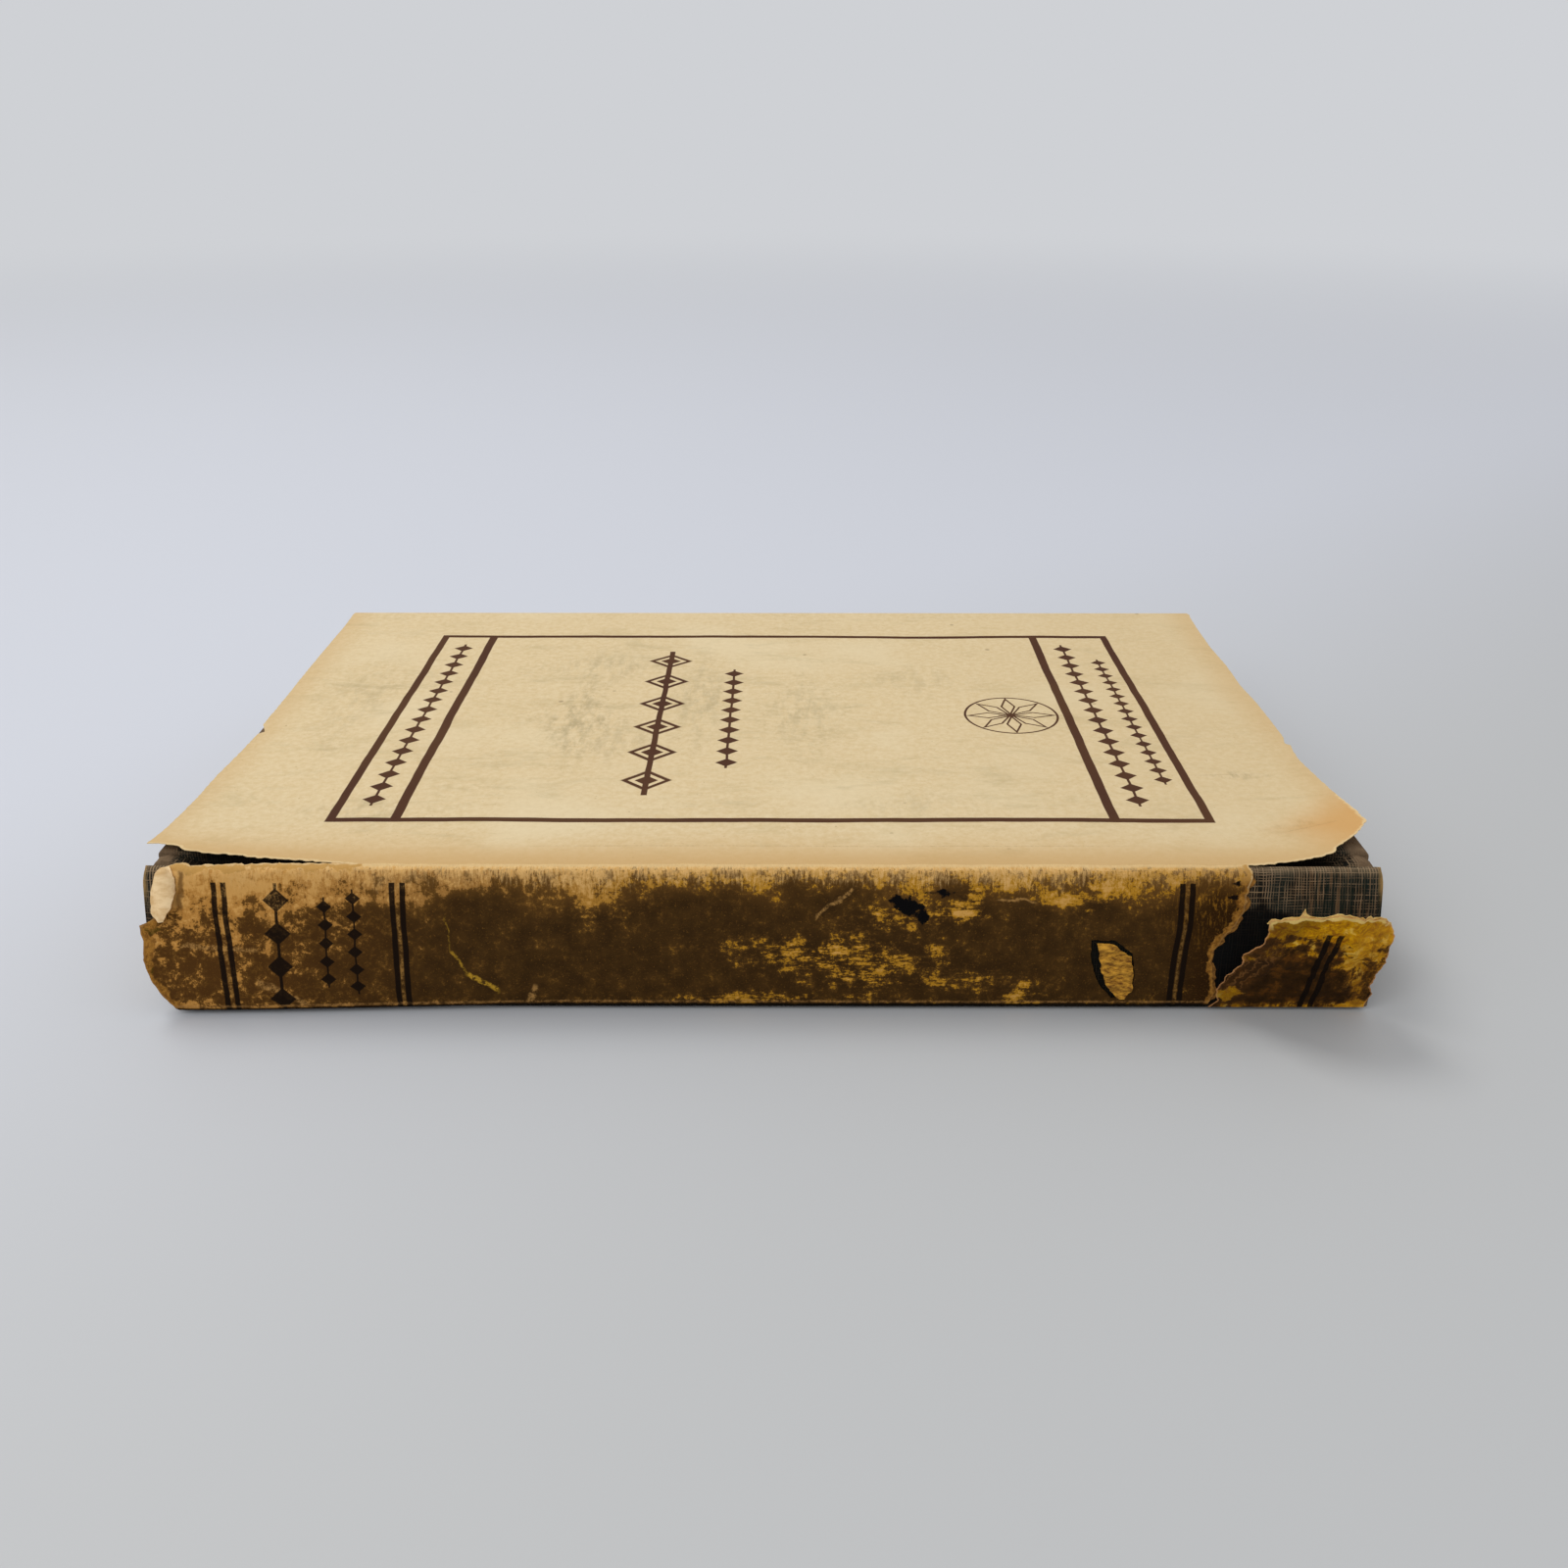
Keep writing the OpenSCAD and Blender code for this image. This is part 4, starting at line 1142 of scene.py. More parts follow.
class OBJECT_OT_book_pages(BookOperator, Operator):
    """Builds the sewn pages with their leaf edges"""

    bl_idname = "old_book.pages"
    bl_label = "Pages"

    def execute(self, context):
        low, high = PAGES_BOX
        low_z, high_z = low.z / MM, high.z / MM
        bpy.ops.object.select_all(action="DESELECT")
        bpy.ops.mesh.primitive_cube_add(size=1, location=(low + high) / 2)
        piece = context.object
        piece.name = "page_block"
        piece.scale = high - low
        bpy.ops.object.transform_apply(location=True, rotation=True, scale=True)
        for axis, cuts in ((2, PAGE_LEVELS - 1), (0, 59), (1, 35)):
            bpy.ops.object.mode_set(mode="EDIT")
            bpy.ops.mesh.select_all(action="DESELECT")
            bpy.ops.mesh.select_mode(type="EDGE")
            bpy.ops.object.mode_set(mode="OBJECT")
            mesh = piece.data
            for edge in mesh.edges:
                a, b = (mesh.vertices[i].co for i in edge.vertices)
                d = [abs(v) for v in b - a]
                edge.select = d[axis] == max(d)
            bpy.ops.object.mode_set(mode="EDIT")
            bpy.ops.mesh.subdivide(number_cuts=cuts)
            bpy.ops.object.mode_set(mode="OBJECT")
        co = np.zeros(len(piece.data.vertices) * 3, np.float32)
        piece.data.vertices.foreach_get("co", co)
        co = co.reshape(-1, 3) / MM
        x, z = co[:, 0].copy(), np.clip(co[:, 2], low_z, high_z)
        depth = (co[:, 1] - low.y / MM) / ((high - low).y / MM)
        back = FOLD_Y + spine_y(z) + 1.8
        level = np.round((z - low_z) / (high_z - low_z) * PAGE_LEVELS).astype(int)
        rng = np.random.RandomState(11)
        shift = rng.normal(0, 1, (PAGE_LEVELS + 1, 3)) * (0.06, 0.07, 0.07)
        group = (level // 10) % 2
        swell = 0.09 * (group - 0.5)
        outer = np.abs(x) > PAGES_BOX[1].x / MM - 0.2
        fore = depth > 0.995
        end = np.sign(x) * (shift[level, 0] + swell - 0.1) * outer
        co[:, 1] = back + depth * PAGES_D
        co[:, 1] += fore * (shift[level, 1] + swell - 0.12 + 0.05 * ripple(x, z * 8, 40, 3))
        co[:, 0] = x + end
        piece.data.vertices.foreach_set("co", (co * MM).astype(np.float32).ravel())
        piece.data.update()
        soften(piece, 24)
        paint(piece, page_edges(self.colours()))
        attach(piece, "block")
        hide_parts("text_block")
        return {"FINISHED"}


class OBJECT_OT_book_endpapers(BookOperator, Operator):
    """Builds the flyleaves and the papers pasted inside the covers"""

    bl_idname = "old_book.endpapers"
    bl_label = "Endpapers"

    def execute(self, context):
        material = leaf_paper(self.colours())
        half = PAGES_BOX[1].x / MM
        for name, node, seed, up in (
            ("front_leaf", "front_flyleaf", 21, 1),
            ("back_leaf", "back_flyleaf", 22, -1),
        ):
            low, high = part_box(node)
            y0, y1 = low.y / MM - FOLD_Y, high.y / MM - FOLD_Y
            face = (high.z if up > 0 else low.z) / MM
            line = Line([(y0, face), (y1, face)], -up, y0)
            corners = [
                (-half, y0), (half, y0), (half, y1 - 2.5), (half - 0.9, y1 - 0.4, 0.05),
                (half - 2.6, y1), (-half + 1.5, y1, 0.05), (-half, y1 - 1.2),
            ]
            piece = paper_sheet(name, corners, along_line(line), 4.0, 0.14, seed, feather=False)
            paint(piece, material)
            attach(piece, "block")
            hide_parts(node)

        turned = CASE_HALF - 14

        def pasted(x, s):
            """Rises over the turned-in cloth round the board."""
            return 0.42 * np.maximum(
                smooth(np.abs(x), turned - 3.2, turned - 0.9), smooth(s, 106.4, 108.7)
            )

        shape = [
            (-half, 2.0), (half, 2.0), (half, 121.0, 0.04), (-half, 121.0), (-half, 60, 0.04)
        ]
        inner = TOP - 2.9
        front = [(1.75, inner - 0.95), (2.05, inner - 0.6, 0.2), (3.2, inner, 1.2), (121.4, inner)]
        line = Line(front, 1)
        start = line.along[np.argmin(np.abs(line.y - 2.0))]
        line.along = line.along - start + 2.0
        shape_front = [(-half, line.along[0] + 0.05), (half, line.along[0] + 0.05)] + shape[2:]

        def front_relief(x, s):
            return pasted(x, s) * smooth(s, 4, 8)

        piece = paper_sheet(
            "front_pasted_paper", shape_front, along_line(line, front_relief), 1.5, 0.14, 23,
            bends=line.bends(), feather=False,
        )
        paint(piece, material)
        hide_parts("front_pastedown")
        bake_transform(piece)

        lean = self.sizes().spine_lean
        line = Line([(2 - lean, 2.9), (121.4 - lean, 2.9)], -1, 2.0)
        piece = paper_sheet(
            "back_pasted_paper", shape, along_line(line, pasted), 1.5, 0.14, 24, feather=False
        )
        paint(piece, material)
        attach(piece, "back_cover")
        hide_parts("back_pastedown")
        return {"FINISHED"}


class OBJECT_OT_book_boards(BookOperator, Operator):
    """Finishes the boards and the layers behind the pages, which keep their CAD shapes"""

    bl_idname = "old_book.boards"
    bl_label = "Boards and linings"

    def execute(self, context):
        card = plain_card("grey_board", srgb(152, 134, 104), srgb(124, 106, 78), 1.2)
        lining = plain_card("lining_paper", srgb(170, 142, 96), srgb(142, 112, 70), 0.8)
        gauze = plain_card("spine_gauze", srgb(206, 196, 168), srgb(160, 146, 112), 0.5)
        for node, material in (
            ("front_board", card),
            ("back_board", card),
            ("spine_inlay", card),
            ("spine_lining", lining),
            ("spine_gauze", gauze),
        ):
            paint(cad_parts[node], material)
        return {"FINISHED"}


class OBJECT_OT_book_cover_cloth(BookOperator, Operator):
    """Builds the cloth round the two boards and across the front joint"""

    bl_idname = "old_book.cover_cloth"
    bl_label = "Cover cloth"

    def execute(self, context):
        material = cover_cloth(self.colours(), False)
        for name, node, body in (
            ("front_cover_cloth", "front_cloth", "front_cover"),
            ("back_cover_cloth", "back_cloth", "back_cover"),
        ):
            piece = from_node(name, node, 0.9)
            if body == "back_cover":
                self.wear_corner(piece)
            paint(piece, material)
            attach(piece, body)
            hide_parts(node)
        groove = TOP - 2.35
        line = Line(
            [
                (1.62, TOP - 1.3), (1.66, groove + 0.1, 0.5),
                (2.6, groove + 0.06, 0.5), (5.6, groove + 0.04),
            ],
            -1,
        )
        half = CASE_HALF - 0.25
        corners = [(-half, 0), (half, 0), (half, line.end), (-half, line.end)]

        def raised(x, s):
            """The joint's cloth stands up at head and tail."""
            y, _, _, _ = line.at(s)
            end = smooth(np.abs(x), 87, 93) * (1 - 0.5 * smooth(np.abs(x), 94, half))
            return 1.75 * end * smooth(y, 1.9, 3.0)

        piece = paper_sheet(
            "front_joint_cloth", corners, along_line(line, raised), 0.9, 0.2, 31,
            bends=line.bends(), feather=False,
        )
        paint(piece, material)
        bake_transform(piece)
        return {"FINISHED"}

    def wear_corner(self, piece):
        """Cuts off the corner by the spine's head, which is worn away."""
        edit_all(
            piece, bpy.ops.mesh.bisect, plane_co=(-91.4 * MM, (FOLD_Y - 3.7) * MM, 0),
            plane_no=(-1, -1, 0), use_fill=True, clear_outer=True,
        )
        soften(piece, 40)


class OBJECT_OT_book_spine_cloth(BookOperator, Operator):
    """Builds the cloth spine with its ridge, its rounded fold and its rolled ends"""

    bl_idname = "old_book.spine_cloth"
    bl_label = "Spine cloth"

    def execute(self, context):
        sizes = self.sizes()
        under = sizes.paper + 0.02
        top = TOP - under
        body = [(spine_y(z) + under, z) for z in np.linspace(TOP - 1.4, 1.4, 16)]
        foot = -sizes.spine_lean
        ridge = foot + RIDGE_W
        corners = (
            [(RIDGE_W, top - 2.1), (RIDGE_W, top, 0.5), (under, top, 0.9)]
            + body
            + [(foot + under, under + 0.3, 0.9), (ridge, under, 0.4), (ridge, 2.1)]
        )
        line = Line(corners, 1)

        def relief(x, s):
            end = smooth(np.abs(x), CASE_HALF - 2.4, CASE_HALF - 0.9)
            roll = 0.16 * end - 0.5 * smooth(np.abs(x), CASE_HALF - 0.7, CASE_HALF + 0.1) ** 2
            _, z, _, _ = line.at(s)
            on_spine = smooth(z, 1.0, 3.0) * (1 - smooth(z, TOP - 0.8, TOP - 0.3))
            return roll * on_spine + 0.03 * ripple(x, s, 9, 41)

        def below(z):
            """The first length at which the line has come down to this height."""
            return float(line.along[np.argmax(line.z < z)])

        half = CASE_HALF
        outline = [
            (-half, 0), (half, 0), (half, line.end), (5.2 - half, line.end),
            (4.2 - half, below(0.9)), (2.6 - half, below(2.6)), (1.0 - half, below(5.0)),
            (-half, below(7.6)),
        ]

        def height(s):
            y, z, _, _ = line.at(s)
            return z + np.maximum(0, y - 0.2) * (z > TOP / 2) - np.maximum(0, y - foot) * (z < 2)

        piece = paper_sheet(
            "spine_cloth_cover", outline, along_line(line, relief, height), 0.85,
            sizes.cloth, 42, feather=False,
        )
        paint(piece, cover_cloth(self.colours(), True))
        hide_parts("spine_cloth")
        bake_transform(piece)

        # The cloth rolled over the inlay at head and tail
        material = piece.data.materials[0]
        for name, sign in (("head_cap", -1), ("tail_cap", 1)):
            roll = self.cap(name, sign, line)
            paint(roll, material)
            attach(roll, "block")
        return {"FINISHED"}

    def cap(self, name, sign, line):
        """A roll of cloth along the spine's end, swept along its profile."""
        low = 8.0 if sign < 0 else 4.2
        wanted = [s for s in line.along if low < np.interp(s, line.along, line.z) < TOP - 0.5]
        wanted = [s for s in wanted if np.interp(s, line.along, line.y) < 0.4][::5]
        ring = 10
        verts, faces, uvs = [], [], []
        for i, s in enumerate(wanted):
            y, z, ny, nz = (float(v) for v in line.at(s))
            taper = min(1.0, 0.35 + min(i, len(wanted) - 1 - i) * 0.2)
            for k in range(ring):
                a = 2 * math.pi * k / ring
                out = 0.52 * math.cos(a) * taper - 0.55
                x = sign * (CASE_HALF - 0.15 + 0.38 * math.sin(a) * taper)
                verts.append((x * MM, (FOLD_Y + y + ny * out) * MM, (z + nz * out) * MM))
                uvs.append((x * MM, z * MM))
        for i in range(len(wanted) - 1):
            for k in range(ring):
                j = (k + 1) % ring
                faces.append((i * ring + k, i * ring + j, (i + 1) * ring + j, (i + 1) * ring + k))
        faces.append(tuple(range(ring))[::-1])
        faces.append(tuple((len(wanted) - 1) * ring + k for k in range(ring)))
        mesh = bpy.data.meshes.new(name)
        mesh.from_pydata(verts, [], faces)
        layer = mesh.uv_layers.new(name="UVMap")
        for loop in mesh.loops:
            layer.data[loop.index].uv = uvs[loop.vertex_index]
        piece = bpy.data.objects.new(name, mesh)
        bpy.context.scene.collection.objects.link(piece)
        edit_all(piece, bpy.ops.mesh.normals_make_consistent, inside=False)
        soften(piece, 60)
        return piece


class OBJECT_OT_book_front_jacket(BookOperator, Operator):
    """Builds the jacket's front panel with its torn corners, fore edge and flap"""

    bl_idname = "old_book.front_jacket"
    bl_label = "Jacket front"

    def execute(self, context):
        sizes = self.sizes()
        inner = TOP - sizes.cover
        fold = 1.0
        line = Line(
            [
                (fold, TOP), (COVER_D, TOP, 0.75),
                (COVER_D, inner, 0.75), (COVER_D - sizes.flap, inner),
            ],
            -1,
            fold,
        )
        bend = line.along[np.argmax(line.y > COVER_D - 0.1)]
        far = bend + sizes.cover
        end = line.end - 0.1
        t = 0.22  # how torn an edge is, in millimetres
        corners = [
            (74.4, fold, t), (78, 1.2, t), (82, 1.5, t), (86, 2.1, t), (88.4, 3.2, t),
            (89.0, 4.6, 0.15), (91.2, 6.4, 0.15), (93.4, 8.4, 0.15), (96.3, 12.3, 0.1),
            (96.4, 17.4, 0.1), (95.8, 24.2, 0.08), (95.3, 31.3, 0.06), (94.7, 41.3, 0.08),
            (95.3, 47.5, 0.08), (94.6, 48.3, 0.08), (95.2, 51.2, 0.05), (95.3, 59.6, 0.05),
            (95.2, 69.3, 0.05), (94.7, 77.7, 0.05), (95.0, 89.2, 0.05), (94.6, 100.3, 0.05),
            (94.9, 113.6, 0.05), (95.3, 120.8, 0.05), (95.6, 122.6, 0.05), (95.2, 123.6),
            (94.9, bend + 0.6), (94.7, far), (92.6, far + 1.6), (91.2, end - 2), (90.2, end),
            (-90.6, end), (-91.4, end - 1.5), (-92.8, far + 1.6), (-94.8, far),
            (-95.0, bend + 0.6), (-95.3, bend - 0.3),
            (-95.5, 122.4, 0.05), (-95.2, 115.0, 0.05), (-95.2, 105.2, 0.05), (-95.2, 94.7, 0.05),
            (-95.1, 82.3, 0.05), (-94.9, 69.3, 0.08), (-94.8, 56.8, 0.06), (-93.4, 53.4, 0.05),
            (-94.4, 52.3, 0.08), (-94.7, 45.3, 0.08), (-95.3, 34.2, 0.08), (-95.2, 23.7, 0.08),
            (-95.3, 16.4, 0.08), (-95.6, 10.5, 0.08), (-96.2, 5.6, 0.1), (-94.6, 5.9, 0.1),
            (-91.4, 5.4, 0.12), (-89.7, 3.9, t), (-85.7, 3.3, t), (-81.5, 3.1, t),
            (-79.0, 2.5, t), (-74.2, 2.2, t), (-69.9, 1.8, t), (-65.7, 1.5, 0.1), (-62.6, fold),
        ]

        def relief(x, s):
            on_top = 1 - smooth(s, bend - 6, bend - 1)
            waves = 0.09 * (1.2 + ripple(x, s, 46, 51)) * smooth(s, 3, 14)
            edge = np.minimum(95 - np.abs(x), 30) / 30
            return on_top * (waves * edge + tail_lift(x, s) + head_lift(x, s))

        piece = paper_sheet(
            "front_jacket", corners, along_line(line, relief), 1.5, sizes.paper, 52,
            bends=line.bends(),
        )
        paint(piece, jacket_paper(self.colours(), True))
        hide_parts("jacket_front", "front_print")
        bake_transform(piece)
        return {"FINISHED"}


class OBJECT_OT_book_back_jacket(BookOperator, Operator):
    """Builds the jacket's back panel with its fore edge and flap"""

    bl_idname = "old_book.back_jacket"
    bl_label = "Jacket back"

    def execute(self, context):
        sizes = self.sizes()
        foot = -sizes.spine_lean
        start = foot + 1.5
        outer = foot + COVER_D
        line = Line(
            [
                (start, 0), (outer, 0, 0.75),
                (outer, sizes.cover, 0.75), (outer - sizes.flap, sizes.cover),
            ],
            1,
            1.5,
        )
        bend = line.along[np.argmax(line.y > outer - 0.1)]
        far = bend + sizes.cover
        end = line.end - 0.1
        corners = [
            (94.4, 1.5), (94.8, 5, 0.05), (94.7, 60, 0.05), (94.9, 118, 0.05), (95.0, 122.6, 0.05),
            (94.8, bend + 0.6), (94.6, far), (92.6, far + 1.6), (91.2, end - 2), (90.2, end),
            (-90.6, end), (-91.4, end - 1.5), (-92.8, far + 1.6), (-94.7, far),
            (-94.9, bend + 0.6), (-95.1, 122.4, 0.05),
            (-94.9, 118, 0.05), (-94.7, 60, 0.05), (-94.8, 6, 0.06), (-92.9, 1.5),
        ]
        piece = paper_sheet(
            "back_jacket", corners, along_line(line), 2.0, sizes.paper, 61, bends=line.bends()
        )
        paint(piece, jacket_paper(self.colours(), False))
        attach(piece, "back_cover")
        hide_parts("jacket_back")
        return {"FINISHED"}


class SpineFace:
    """The jacket's spine, over both folds. Its tears and print are placed by their height."""

    def __init__(self):
        foot = -book_sizes().spine_lean
        past = 2.2
        top = [(3.2, TOP), (0.05, TOP, 1.4)]
        body = [(spine_y(z), z) for z in np.linspace(TOP - 2.0, 1.9, 20)]
        line = Line(top + body + [(foot, 0.32, 0.95), (foot + past, 0)], 1)
        foot = line.y[-1] - past
        heights = np.where(
            line.z > TOP - 0.5,
            TOP + np.maximum(line.y, 0) - np.maximum(0, TOP - line.z) * 0.5,
            np.where(line.z < 0.4, -np.maximum(0, line.y - foot), line.z),
        )
        self.line = line
        self.heights = np.minimum.accumulate(heights - 1e-6 * np.arange(len(heights)))

    def height(self, s):
        """The height at a length along the line, counted on past both folds."""
        return np.interp(s, self.line.along, self.heights)

    def shape(self, corners):
        """Corners placed by height, as corners placed by length along the line."""
        along = self.line.along
        return [
            (x, float(np.interp(-z, -self.heights, along)), *torn) for x, z, *torn in corners
        ]

    def put(self, relief):
        """A put function for paper_sheet, whose UV map holds heights."""
        return along_line(self.line, relief, self.height)


class OBJECT_OT_book_spine_jacket(BookOperator, Operator):
    """Builds the jacket's darkened spine with its tears and holes"""

    bl_idname = "old_book.spine_jacket"
    bl_label = "Jacket spine"

    def execute(self, context):
        sizes = self.sizes()
        face = SpineFace()
        t = 0.2  # how torn an edge is, in millimetres
        outline = face.shape([
            (-62.4, TOP + 1.0, 0.12), (-69.8, TOP + 1.15, t), (-78.1, TOP + 0.95, t),
            (-84.1, TOP + 0.75, t), (-87.8, TOP + 0.5, t), (-89.2, TOP + 1.5, 0.15),
            (-90.6, TOP + 0.9, 0.15), (-91.7, TOP + 0.1, 0.12), (-93.2, 21.6, 0.12),
            (-93.7, 18.4, 0.12), (-93.4, 15.6, 0.12), (-95.9, 14.4, 0.15), (-95.5, 12.6, 0.15),
            (-95.4, 11.2, 0.1), (-95.6, 9.2, 0.1), (-95.1, 7.4, 0.1), (-94.5, 5.6, 0.1),
            (-93.7, 3.9, 0.1), (-92.5, 2.1, 0.1), (-91.2, 0.5, 0.08), (-90.8, -0.3),
            (-90.8, -1.4), (94.4, -1.4), (94.5, -0.1, 0.08), (90.0, 0.15, 0.1),
            (80.0, 0.1, 0.1), (71.5, 0.2, 0.1), (69.9, 1.0, 0.15), (70.8, 3.6, t),
            (70.1, 4.8, t), (69.8, 7.3, t), (69.4, 8.6, t), (69.7, 10.5, t), (71.3, 13.0, t),
            (72.1, 13.6, t), (73.2, 15.7, t), (74.0, 17.1, t), (74.4, 18.3, t),
            (74.1, 19.2, t), (74.8, 21.4, t), (74.9, 22.7, t), (74.4, TOP + 1.0),
        ])
        hole = face.shape([
            (50.7, 12.2, 0.12), (54.4, 12.1, 0.1), (57.3, 9.9, 0.08), (57.8, 6.0, 0.08),
            (57.6, 3.2, 0.08), (56.4, 2.1, 0.08), (54.6, 2.0, 0.1), (52.8, 4.0, 0.12),
            (51.8, 6.0, 0.12), (50.9, 8.8, 0.12),
        ])

        def relief(x, s):
            z = face.height(s)
            rough = 0.05 * (1 + ripple(x, s, 3.5, 71)) + 0.05 * (1 + ripple(x, s, 14, 72))
            fold = 0.1 * np.abs(ripple(x * 2, s, 1.6, 73)) * smooth(z, 19, 22.5)
            head = 0.5 * smooth(-x, 91.5, 95.5) * smooth(z, 2, 8) * (1 - smooth(z, 13.5, 15.5))
            return (rough + fold + head + self.wrinkles(x, z)) * smooth(z, 0.2, 2.2)

        plain = face.put(relief)

        def put(x, s):
            """The paper's foot stands away from the spine towards the head."""
            place, normal, flat = plain(x, s)
            z = face.height(s)
            place[:, 1] -= 1.8 * smooth(-x, 28, 92) * (1 - smooth(z, 0.5, 15))
            return place, normal, flat

        bends = face.line.bends()
        piece = paper_sheet(
            "spine_jacket", outline, put, 0.85, sizes.paper, 74, [hole], bends
        )
        paint(piece, spine_paper(self.colours()))
        core = plain_card("tear_core", srgb(156, 110, 48), srgb(94, 60, 22), 0.6)
        edge = fringe("tear_fibres", outline[-15:-1], (0.7, 0.1), put, core, 75)
        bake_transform(edge)
        pale = plain_card("fold_core", srgb(226, 198, 148), srgb(196, 158, 104), 0.8)
        edge = fringe("fold_fibres", outline[:8], (0.0, -0.5), put, pale, 76)
        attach(edge, "block")
        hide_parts("jacket_spine", "spine_print")
        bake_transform(piece)
        return {"FINISHED"}

    def wrinkles(self, x, z):
        """Small ridges where the paper has buckled."""
        total = np.zeros_like(x)
        for x0, z0, x1, z1, width, rise in (
            (-92, 11.0, -77, 10.6, 0.55, 0.22), (-80, 5.2, -72, 2.0, 0.7, 0.22),
            (-48.8, 15.6, -47.4, 8.4, 0.4, 0.16), (-47.2, 7.2, -41.5, 3.6, 0.45, 0.2),
            (8.0, 16.0, 14.5, 20.2, 0.4, 0.16), (58.5, 11.5, 60.5, 3.0, 0.6, 0.14),
            (-93, 6.5, -86, 3.0, 0.8, 0.2),
        ):
            d = np.array([x1 - x0, z1 - z0])
            size = np.hypot(*d)
            along = ((x - x0) * d[0] + (z - z0) * d[1]) / size
            across = ((x - x0) * -d[1] + (z - z0) * d[0]) / size
            fade = smooth(along, -0.8, 1.2) * (1 - smooth(along, size - 1.2, size + 0.8))
            total += rise * fade * np.exp(-((across / width) ** 2))
        return total


class OBJECT_OT_book_torn_piece(BookOperator, Operator):
    """Builds the torn piece that leans out from the spine's tail"""

    bl_idname = "old_book.torn_piece"
    bl_label = "Torn tail piece"

    def execute(self, context):
        sizes = self.sizes()
        lean = math.radians(20)
        foot = -sizes.spine_lean
        t = 0.2  # how torn an edge is, in millimetres
        outline = [
            (70.0, 0.1, 0.1), (71.3, 1.5, t), (70.4, 4.2, t), (70.9, 5.9, t), (71.6, 7.4, t),
            (72.6, 9.1, t), (73.1, 10.5, t), (72.7, 12.2, t), (73.0, 13.4, t), (73.9, 14.6, t),
            (74.9, 16.0, t), (75.4, 18.3, 0.12), (75.0, 21.4, t), (77.2, 21.8, t),
            (78.9, 22.0, 0.1), (79.3, 24.0, 0.05), (79.7, 22.6, t), (81.5, 22.7, t),
            (83.6, 22.8, t), (85.7, 23.2, t), (87.8, 22.7, t), (89.8, 21.7, t), (92.2, 20.8, t),
            (94.3, 17.8, 0.12), (94.6, 17.0, 0.1), (94.6, 13.4, 0.1), (94.8, 9.6, 0.1),
            (94.1, 4.9, 0.15), (95.0, 3.2, 0.15), (94.4, 0.1),
        ]

        def put(x, s):
            curl = 0.5 * smooth(s, 17, 23) ** 2 + 0.05 * (1 + ripple(x, s, 5, 82))
            bulge = 0.7 * np.sin(np.pi * np.clip(s / 21, 0, 1))
            curve = 0.9 * smooth(x, 86, 96) * smooth(s, 2, 14)
            buckle = 0.4 * ripple(x * 0.7, s, 9, 83) + 0.2 * ripple(x, s, 2.6, 84)
            buckle *= smooth(s, 1, 9)
            buckle += 0.14 * np.abs(ripple(x, s * 0.6, 1.9, 86)) * smooth(s, 13, 18)
            ridge = 0.5 * np.exp(-(((x - 90.6 + 0.12 * s) / 0.9) ** 2)) * smooth(s, 2, 7)
            out = curl + buckle + ridge - bulge * 0.4 - curve * 0.4
            first = smooth(s, 0, 4)
            angle = lean * first
            y = foot - s * np.sin(lean) * (0.55 + 0.45 * first) - np.cos(lean) * out * first
            z = 0.25 + s * np.cos(angle) - np.sin(lean) * out * first
            y = np.minimum(y, spine_y(np.clip(z, 0, TOP)) - 0.02)
            place = np.stack([x, FOLD_Y + y, z], 1)
            normal = np.stack([np.zeros_like(x), -np.cos(angle), -np.sin(angle)], 1)
            return place, normal, np.stack([x, s], 1)

        piece = paper_sheet("torn_tail_piece", outline, put, 0.75, sizes.paper, 81)
        paint(piece, torn_piece_paper(self.colours()))
        core = plain_card("torn_core", srgb(246, 216, 140), srgb(214, 166, 84), 0.8)
        edge = fringe("torn_piece_fibres", outline[12:24], (0.05, 0.5), put, core, 85)
        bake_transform(edge)
        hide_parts("jacket_tail_piece", "tail_piece_print")
        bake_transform(piece)
        return {"FINISHED"}


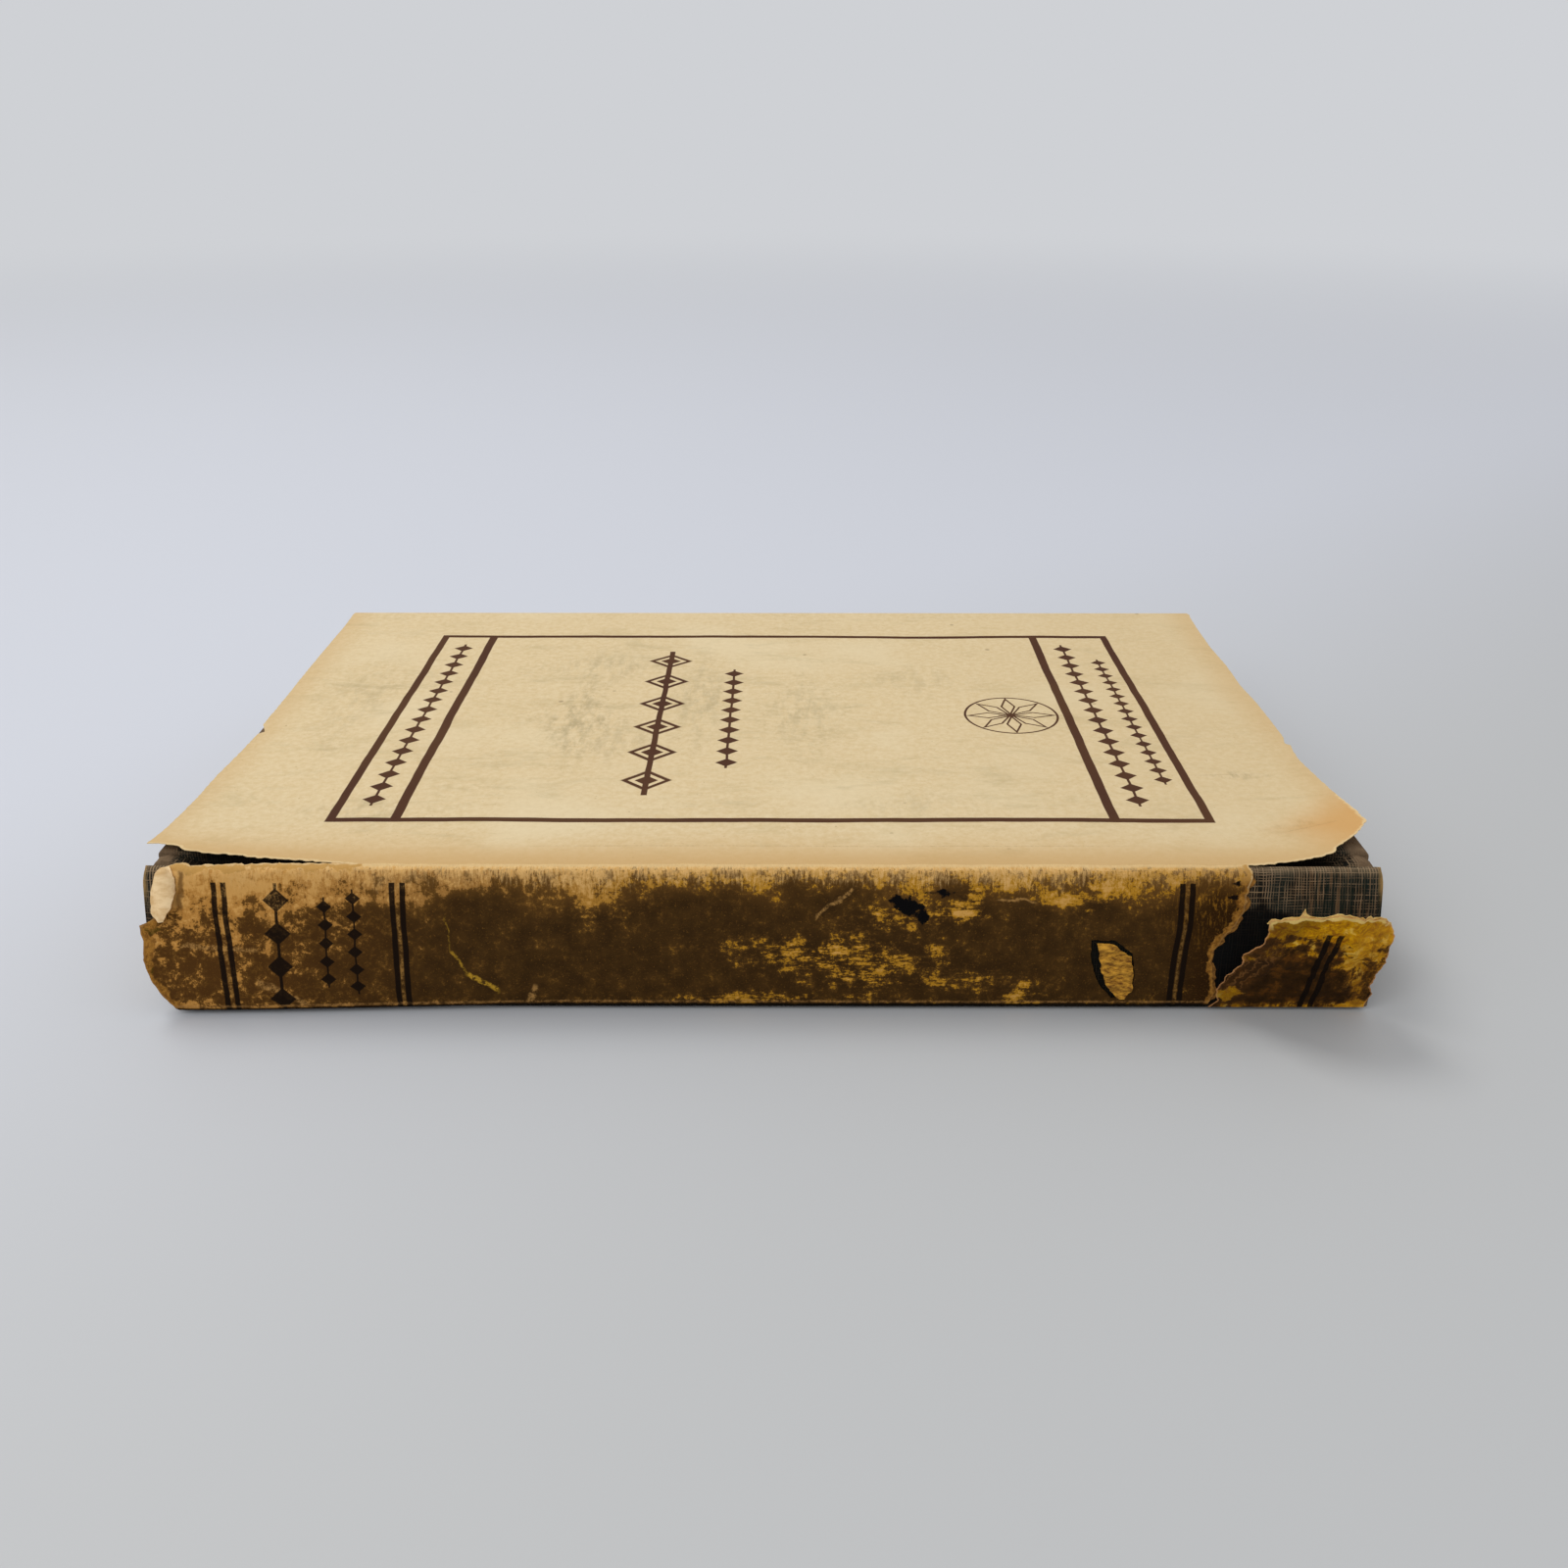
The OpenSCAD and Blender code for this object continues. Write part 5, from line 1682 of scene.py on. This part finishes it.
class OBJECT_OT_book_scraps(BookOperator, Operator):
    """Builds the peeled chip and the paper folded over at the head"""

    bl_idname = "old_book.scraps"
    bl_label = "Peeled scraps"

    def execute(self, context):
        sizes = self.sizes()
        face = SpineFace()

        def chip_relief(x, s):
            z = face.height(s)
            lift = 0.3 + 0.6 * (1 - smooth(x, 51.5, 56)) + 0.5 * (1 - smooth(z, 2.5, 6.5))
            ribs = 0.22 * np.sin(z * 3.1 + 1.3 * ripple(x, z, 5, 92)) + 0.1 * ripple(x, z, 1.5, 93)
            return lift + ribs

        chip = face.shape([
            (51.5, 11.9, 0.2), (54.2, 11.5, 0.2), (57.1, 9.5, 0.15), (57.6, 6.0, 0.1),
            (57.5, 3.4, 0.15), (56.4, 2.5, 0.2), (55.2, 2.7, 0.2), (53.6, 4.6, 0.25),
            (52.9, 6.2, 0.25), (52.2, 8.8, 0.2),
        ])
        piece = paper_sheet("peeled_chip", chip, face.put(chip_relief), 0.33, sizes.paper, 91)
        paint(piece, plain_card("peeled_paper", srgb(214, 158, 54), srgb(98, 58, 14), 0.55))
        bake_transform(piece)

        def lens_relief(x, s):
            z = face.height(s)
            middle = -91.5 - 0.03 * (19 - z) ** 2
            half = 1.75 * np.sqrt(np.clip(1 - ((z - 19.2) / 4.6) ** 2, 0.02, 1))
            share = np.clip((x - middle) / half, -1, 1)
            return 0.3 + 1.0 * np.sqrt(1 - 0.98 * share**2) * smooth(half, 0.1, 1.3)

        lens = face.shape([
            (-90.9, 23.6, 0.08), (-89.9, 21.6, 0.1), (-89.8, 19.6, 0.1), (-90.5, 17.3, 0.1),
            (-91.9, 15.2, 0.1), (-93.0, 14.9, 0.1), (-93.9, 16.4, 0.1), (-93.7, 19.6, 0.08),
            (-92.6, 22.3, 0.08),
        ])
        piece = paper_sheet("folded_over_paper", lens, face.put(lens_relief), 0.4, 0.3, 95)
        paint(piece, plain_card("pale_paper", srgb(246, 216, 168), srgb(216, 178, 124), 1.2))
        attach(piece, "block")
        return {"FINISHED"}


class OBJECT_OT_book_stage(BookOperator, Operator):
    """Makes the floor, the light and the camera"""

    bl_idname = "old_book.stage"
    bl_label = "Stage"

    def execute(self, context):
        bpy.ops.object.select_all(action="DESELECT")
        bpy.ops.mesh.primitive_circle_add(
            vertices=96, radius=30, fill_type="NGON", location=(0, 0, -0.0004)
        )
        floor = context.object
        floor.name = "floor"
        bpy.ops.object.transform_apply(location=True, rotation=True, scale=True)
        paint(floor, floor_paint(self.colours()))

        world = bpy.data.worlds.new("soft_room")
        context.scene.world = world
        world.use_nodes = True
        nodes, links = world.node_tree.nodes, world.node_tree.links
        room = nodes["Background"]
        room.inputs["Color"].default_value = srgb(243, 242, 242) + (1,)
        room.inputs["Strength"].default_value = 0.64
        plain = nodes.new("ShaderNodeBackground")
        plain.inputs["Color"].default_value = tuple(self.colours().backdrop) + (1,)
        rays = nodes.new("ShaderNodeLightPath")
        both = nodes.new("ShaderNodeMixShader")
        links.new(rays.outputs["Is Camera Ray"], both.inputs[0])
        links.new(room.outputs[0], both.inputs[1])
        links.new(plain.outputs[0], both.inputs[2])
        links.new(both.outputs[0], nodes["World Output"].inputs["Surface"])

        for name, place, size, power, tint in (
            ("back_lamp", (-0.5, 0.42, 1.2), 0.55, 6.0, (1.0, 0.97, 0.92)),
            ("front_lamp", (-0.55, -0.75, 0.8), 0.7, 4.0, (1.0, 0.98, 0.95)),
        ):
            lamp = bpy.data.lights.new(name, "AREA")
            lamp.shape = "SQUARE"
            lamp.size = size
            lamp.energy = power
            lamp.color = tint
            holder = bpy.data.objects.new(name, lamp)
            holder.location = place
            aim = Vector((0, 0, 0.01)) - Vector(place)
            holder.rotation_euler = aim.to_track_quat("-Z", "Y").to_euler()
            context.scene.collection.objects.link(holder)

        # The lens and the place were solved from the photo's ruled frame and edges
        camera = bpy.data.cameras.new("photo_camera")
        camera.lens = 33.75
        camera.sensor_width = 36
        camera.clip_start = 0.01
        camera.clip_end = 50
        eye = bpy.data.objects.new("photo_camera", camera)
        eye.location = (0.00383, -0.25734, 0.12942)
        eye.rotation_euler = (math.radians(90 - 24.882), 0, math.radians(0.151))
        context.scene.collection.objects.link(eye)
        context.scene.camera = eye
        context.scene.view_settings.view_transform = "Standard"
        return {"FINISHED"}


class VIEW3D_PT_old_book(Panel):
    """Lists the steps that build the book"""

    bl_label = "Old book"
    bl_idname = "VIEW3D_PT_old_book"
    bl_space_type = "VIEW_3D"
    bl_region_type = "UI"
    bl_category = "Old book"

    def draw(self, context):
        for step in STEPS:
            self.layout.operator(step.bl_idname)
        for settings in (context.scene.old_book_sizes, context.scene.old_book_colours):
            column = self.layout.column()
            for key in settings.__annotations__:
                column.prop(settings, key)


STEPS = (
    OBJECT_OT_book_pages,
    OBJECT_OT_book_endpapers,
    OBJECT_OT_book_boards,
    OBJECT_OT_book_cover_cloth,
    OBJECT_OT_book_spine_cloth,
    OBJECT_OT_book_front_jacket,
    OBJECT_OT_book_back_jacket,
    OBJECT_OT_book_spine_jacket,
    OBJECT_OT_book_torn_piece,
    OBJECT_OT_book_scraps,
    OBJECT_OT_book_stage,
)
CLASSES = (OldBookSizes, OldBookColours) + STEPS + (VIEW3D_PT_old_book,)


def register():
    for item in CLASSES:
        bpy.utils.register_class(item)
    Scene.old_book_sizes = PointerProperty(type=OldBookSizes)
    Scene.old_book_colours = PointerProperty(type=OldBookColours)


def unregister():
    del Scene.old_book_colours
    del Scene.old_book_sizes
    for item in reversed(CLASSES):
        bpy.utils.unregister_class(item)


def main():
    register()
    for step in STEPS:
        group, name = step.bl_idname.split(".")
        getattr(getattr(bpy.ops, group), name)()


if __name__ == "__main__":
    main()
